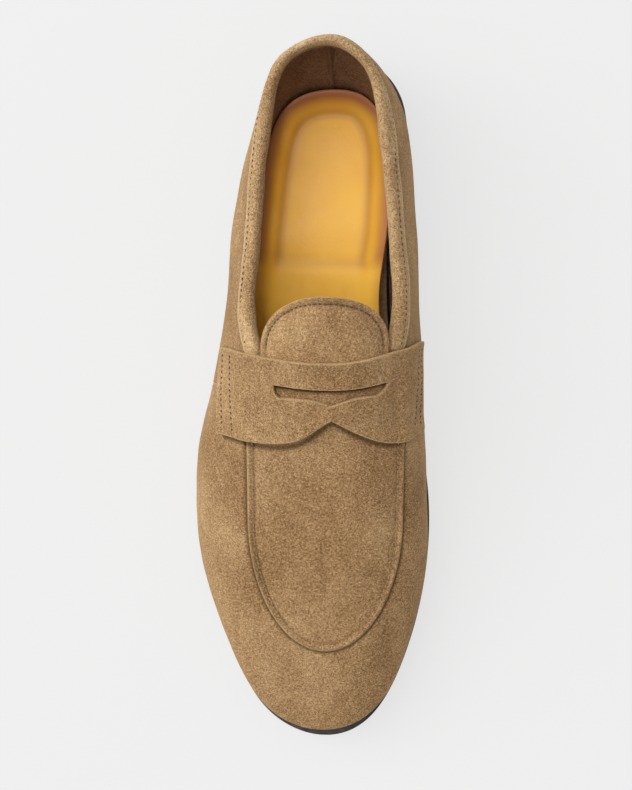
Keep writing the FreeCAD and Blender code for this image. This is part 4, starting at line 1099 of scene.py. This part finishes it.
# ---- the bottom
def slab(name, inset, low, high, edge_round=0.5, rings=26, count=150):
    """Piece of the bottom: inset from the sole edge, between two heights above the underside of the sole."""
    t = all_round(count)
    edge = sole_edge(t)
    inward = inward_level(t, sole_edge)
    rim = edge + inward * inset(edge[:, 1])[:, None]
    sx, sy = spine(edge[:, 1])
    middle = np.stack([sx, sy], 1)
    sections = []

    def ring(rho, rise, pull=0.0):
        p = middle + (rim + inward * pull - middle) * rho
        sections.append(np.column_stack([p, sole_under(p[:, 1]) + rise]))

    for rho in np.linspace(0, 1, rings)[:-1]:
        ring(rho, high)
    thick = high - low
    r = min(edge_round, thick / 2)
    for a in np.linspace(0, math.pi / 2, 4):
        ring(1.0, high - r + r * math.cos(a), r - r * math.sin(a))
    if thick > 2 * r + 0.5:
        for z in np.linspace(high - r, low + r, 5)[1:-1]:
            ring(1.0, z)
    for a in np.linspace(math.pi / 2, 0, 4):
        ring(1.0, low + r - r * math.cos(a), r - r * math.sin(a))
    for rho in np.linspace(1, 0, rings)[1:]:
        ring(rho, low)
    return weld_grid(name, np.stack(sections, 0))


def weld_grid(name, grid):
    """Closed mesh from a grid whose first and last rows lie on the middle line."""
    first, index = weld(grid)
    faces = [f for f in map(clean, cell_corners(index).reshape(-1, 4).tolist()) if f]
    return fix_normals(make_object(name, grid.reshape(-1, 3)[first], faces, {}))


def build_bottom():
    outsole = slab("outsole_leather", np.zeros_like, 0.0, SOLE, 0.7)
    finish_piece(outsole, sole_mat, ["outsole"], blend=TOE_BEND)
    filler = slab("cork_filler_sheet", lambda y: feather_inset(y) + 10.2, SOLE + 0.05, SOLE + 0.75)
    finish_piece(filler, cork_mat, ["cork_filler"], blend=TOE_BEND)
    board = slab("insole_board_sheet", lambda y: feather_inset(y) + BOARD_BASE + 1.6 * ease((-y - 200) / 45),
                 SOLE + BOARD_BASE, SOLE + BOARD_BASE + BOARD)
    finish_piece(board, board_mat, ["insole_board"], blend=TOE_BEND)


FOOTBED_EDGE = np.array([
    (1.0, 11.0), (-13.5, 8.2), (-24.0, -3.0), (-28.5, -26.0), (-31.5, -60.0), (-36.0, -94.0),
    (-42.5, -128.0), (-44.0, -160.0), (-40.0, -194.0), (-30.0, -226.0), (-15.0, -243.0),
    (2.0, -247.0), (18.0, -239.0), (29.0, -218.0), (35.0, -188.0), (35.0, -155.0), (29.0, -122.0),
    (22.5, -94.0), (21.0, -72.0), (23.5, -52.0), (24.5, -28.0), (22.5, -6.0), (14.0, 7.5),
])
footbed_edge = periodic(FOOTBED_EDGE)
BOARD_TOP = BOARD_BASE + BOARD + CEMENT
FOOTBED_RISE = BOARD_TOP + CUSHION + CEMENT + FOOTBED_COVER


def footbed_plan(count_t=260, rings=60):
    """Rings of plan points from the footbed's middle line to its edge."""
    fine = np.linspace(-2.0, len(FOOTBED_EDGE) - 2.0, 4600)
    ys = footbed_edge(fine)[:, 1]
    back, toe = fine[ys.argmax()], fine[ys.argmin()]
    outer = np.linspace(back, toe, count_t // 2)
    level = footbed_edge(outer)[1:-1, 1]
    inner = bisect(lambda t: footbed_edge(t)[..., 1] - level, np.full(level.shape, back + len(FOOTBED_EDGE)),
                   np.full(level.shape, toe))
    edge = footbed_edge(np.concatenate([outer, inner[::-1]]))
    along = np.clip(edge[:, 1], -215.0, -20.0)
    middle = np.stack([footbed_middle(along), along], 1)
    shares = np.linspace(0, 1, rings) ** 0.8
    return middle[None] + (edge - middle)[None] * shares[:, None, None]


footbed_middle = spline((
    (-247, 2), (-200, -2.5), (-160, -4.5), (-120, -6.0), (-94, -6.5), (-60, -4.0), (-28, -2.0),
    (11, 0.5),
))


def edge_distance(plan, edge):
    """Distance of plan points from a closed edge, as a dense set of its points."""
    flat = plan.reshape(-1, 2)
    result = np.empty(len(flat))
    for start in range(0, len(flat), 4000):
        part = flat[start:start + 4000]
        result[start:start + 4000] = np.sqrt(((part[:, None] - edge[None]) ** 2).sum(-1)).min(1)
    return result.reshape(plan.shape[:-1])


def footbed_height(plan, d):
    """Shape of the footbed's face above the flat board: a soft rim, a groove and a pressed heel seat."""
    x, y = plan[..., 0], plan[..., 1]
    heel = ease((y + 120.0) / 70.0)
    rim = 5.4 * heel * (1 - ease(d / 10.5))
    groove = -0.5 * bump(d, 8.2, 2.0) * ease((y + 66) / 8.0)
    crease = -0.7 * bump(y + 0.06 * (x + 2), SEAT_FRONT, 1.8) * (1 - ease((abs(x + 3) - 20) / 4.0))
    seat = -0.5 * ease((d - 7) / 6) * ease((y + 62) / 5.0)
    soft = 0.25 * wobble(np.dstack([x, y, x * 0]), 30.0, 61)
    return rim + groove + crease + seat + soft


def close_rings(values):
    return np.concatenate([values, values[:, :1]], 1)


def build_footbed():
    plan = footbed_plan()
    d = edge_distance(plan, footbed_edge(np.linspace(0, len(FOOTBED_EDGE), 700)))
    z = sole_top(plan[..., 1]) + FOOTBED_RISE + footbed_height(plan, d)
    grid, d = close_rings(np.dstack([plan, z])), close_rings(d)
    x, y = grid[..., 0], grid[..., 1]
    heel = ease((y + 66) / 8.0)
    # Painted shade on the footbed: darker along its edge, most on the heel rim, in the ring groove, at the
    # heel end under the collar and along the crease of the heel seat.
    burn = (0.95 * (1 - ease(d / 7.5)) * heel + 0.35 * (1 - ease(d / 5.0)) * (1 - heel)
            + 0.5 * bump(d, 8.8, 2.2) * heel + 0.3 * ease((y + 2) / 10) * (1 - ease(d / 11.0))
            + 0.22 * bump(y + 0.06 * (x + 2), SEAT_FRONT, 2.2) * (1 - ease((abs(x + 3) - 18) / 5)))
    burn = np.clip(burn, 0, 1)
    obj = shell("footbed_cover_leather", grid, FOOTBED_COVER, up=up_only, lip=0.3, burn=burn)
    finish_piece(obj, footbed_mat, ["footbed_cover"], blend=TOE_BEND)
    centre, shrink = np.array([-2.0, -118.0]), np.array([0.975, 0.99])
    border = footbed_edge(np.linspace(0, len(FOOTBED_EDGE), 500))
    plan, border = (centre + (points - centre) * shrink for points in (footbed_plan(200, 24), border))
    d = edge_distance(plan, border)
    top = FOOTBED_RISE - 1.35 + 5.0 * ease((plan[..., 1] + 120) / 70) * (1 - ease(d / 9.5)) - 0.6
    grid = close_rings(np.dstack([plan, sole_top(plan[..., 1]) + top]))
    obj = shell("footbed_cushion_foam", grid, close_rings(top - BOARD_TOP), up=up_only, lip=0.2)
    finish_piece(obj, foam_mat, ["footbed_cushion"], blend=TOE_BEND)


def dress_cad():
    """CAD pieces whose shape is right: the heel, its nails and the shank."""
    looks = {"heel_top_piece": rubber_mat, "heel_lift_lower": heel_mat, "heel_lift_upper": heel_mat,
             "heel_nails": steel_mat, "shank": steel_mat}
    for node, mat in looks.items():
        obj = frame["nodes"][node]
        obj.data.materials.clear()
        obj.data.materials.append(mat)
    for node in ("heel_lift_lower", "heel_lift_upper"):
        soften = frame["nodes"][node].modifiers.new("soft_edges", "BEVEL")
        soften.width, soften.segments, soften.limit_method = 0.0004, 3, "ANGLE"


# ---- stage and camera
SOFT_BOX = tuple(Vector((-0.36, 0.16, 0.92)).normalized())  # direction of a large soft box
SURROUND, LOBE_STRENGTH, LOBE_POWER = 0.34, 2.6, 6.0
FLOOR_HALF, FLOOR_GAP = 4.0, 0.0003
CAMERA_PLACE = np.array([0.05126, -0.11154, 0.650])
CAMERA_TARGET = np.array([-0.0045, -0.1180, 0.030])
CAMERA_TURN = math.radians(1.565)
SENSOR, LENS = 36.0, 66.5316


def add_light(name, place, target, size, energy):
    data = bpy.data.lights.new(name, "AREA")
    data.shape, data.size, data.energy = "SQUARE", size, energy
    lamp = bpy.data.objects.new(name, data)
    lamp.location = place
    lamp.rotation_mode = "QUATERNION"
    lamp.rotation_quaternion = (Vector(target) - Vector(place)).to_track_quat("-Z", "Y")
    bpy.context.scene.collection.objects.link(lamp)
    return lamp


def build_floor():
    """A light table: it glows a little, which keeps the shadow under the shoe pale."""
    mat, g, shader = material("floor_paper")
    tone = g.mix(g.noise(3.0, 2.0), (0.155, 0.155, 0.155, 1), (0.165, 0.165, 0.165, 1))
    g.fill(shader, Base_Color=tone, Roughness=0.9, Specular_IOR_Level=0.1,
           Emission_Color=(1.0, 1.0, 1.0, 1.0), Emission_Strength=0.69)
    mesh = bpy.data.meshes.new("floor")
    corners = [(x * FLOOR_HALF, y * FLOOR_HALF, 0) for x, y in ((-1, -1), (1, -1), (1, 1), (-1, 1))]
    mesh.from_pydata(corners, [], [(0, 1, 2, 3)])
    mesh.materials.append(mat)
    floor = bpy.data.objects.new("floor", mesh)
    floor.location.z = -FLOOR_GAP
    bpy.context.scene.collection.objects.link(floor)


def build_world():
    """A large soft box up and to the left, over an even, dimmer surround."""
    world = bpy.data.worlds.new("studio")
    bpy.context.scene.world = world
    world.use_nodes = True
    g = Graph(world.node_tree, "Generated")
    toward = g.node("ShaderNodeVectorMath", g.place, SOFT_BOX)
    toward.operation = "DOT_PRODUCT"
    lobe = g.math("POWER", g.math("MAXIMUM", toward.outputs["Value"], 0.0), LOBE_POWER)
    strength = g.math("ADD", g.math("MULTIPLY", lobe, LOBE_STRENGTH), SURROUND)
    g.fill(world.node_tree.nodes["Background"], Strength=strength, Color=(1.0, 0.995, 0.985, 1.0))


def build_lamps():
    add_light("key", (-1.45, 0.35, 0.95), (0.0, -0.12, 0.03), 0.9, 10.0)
    # A small lamp high over the foot opening lights the footbed alone.
    down = add_light("footbed_lamp", (-0.02, -0.03, 0.95), (-0.002, -0.045, 0.03), 0.10, 0.050)
    down.data.spread = math.radians(30)
    receivers = bpy.data.collections.new("footbed_lamp_receivers")
    for obj in bpy.data.objects:
        if obj.name.startswith("footbed_cover"):
            receivers.objects.link(obj)
    down.light_linking.receiver_collection = receivers
    bpy.context.scene.view_settings.view_transform = "Standard"


def build_camera():
    """Nearly straight above, a little to the inner side."""
    data = bpy.data.cameras.new("camera")
    data.sensor_width, data.lens = SENSOR, LENS
    cam = bpy.data.objects.new("camera", data)
    back = Vector(CAMERA_PLACE - CAMERA_TARGET).normalized()
    right = Vector((math.cos(CAMERA_TURN), math.sin(CAMERA_TURN), 0.0))
    right = (right - back * right.dot(back)).normalized()
    rotation = Matrix((right, back.cross(right), back)).transposed().to_4x4()
    cam.matrix_world = Matrix.Translation(Vector(CAMERA_PLACE)) @ rotation
    bpy.context.scene.collection.objects.link(cam)
    bpy.context.scene.camera = cam


build_bottom()
build_footbed()
build_skirt()
build_apron()
build_quarters()
build_collar()
build_back_seam()
build_strap()
build_tongue()
dress_cad()
build_floor()
build_world()
build_lamps()
build_camera()
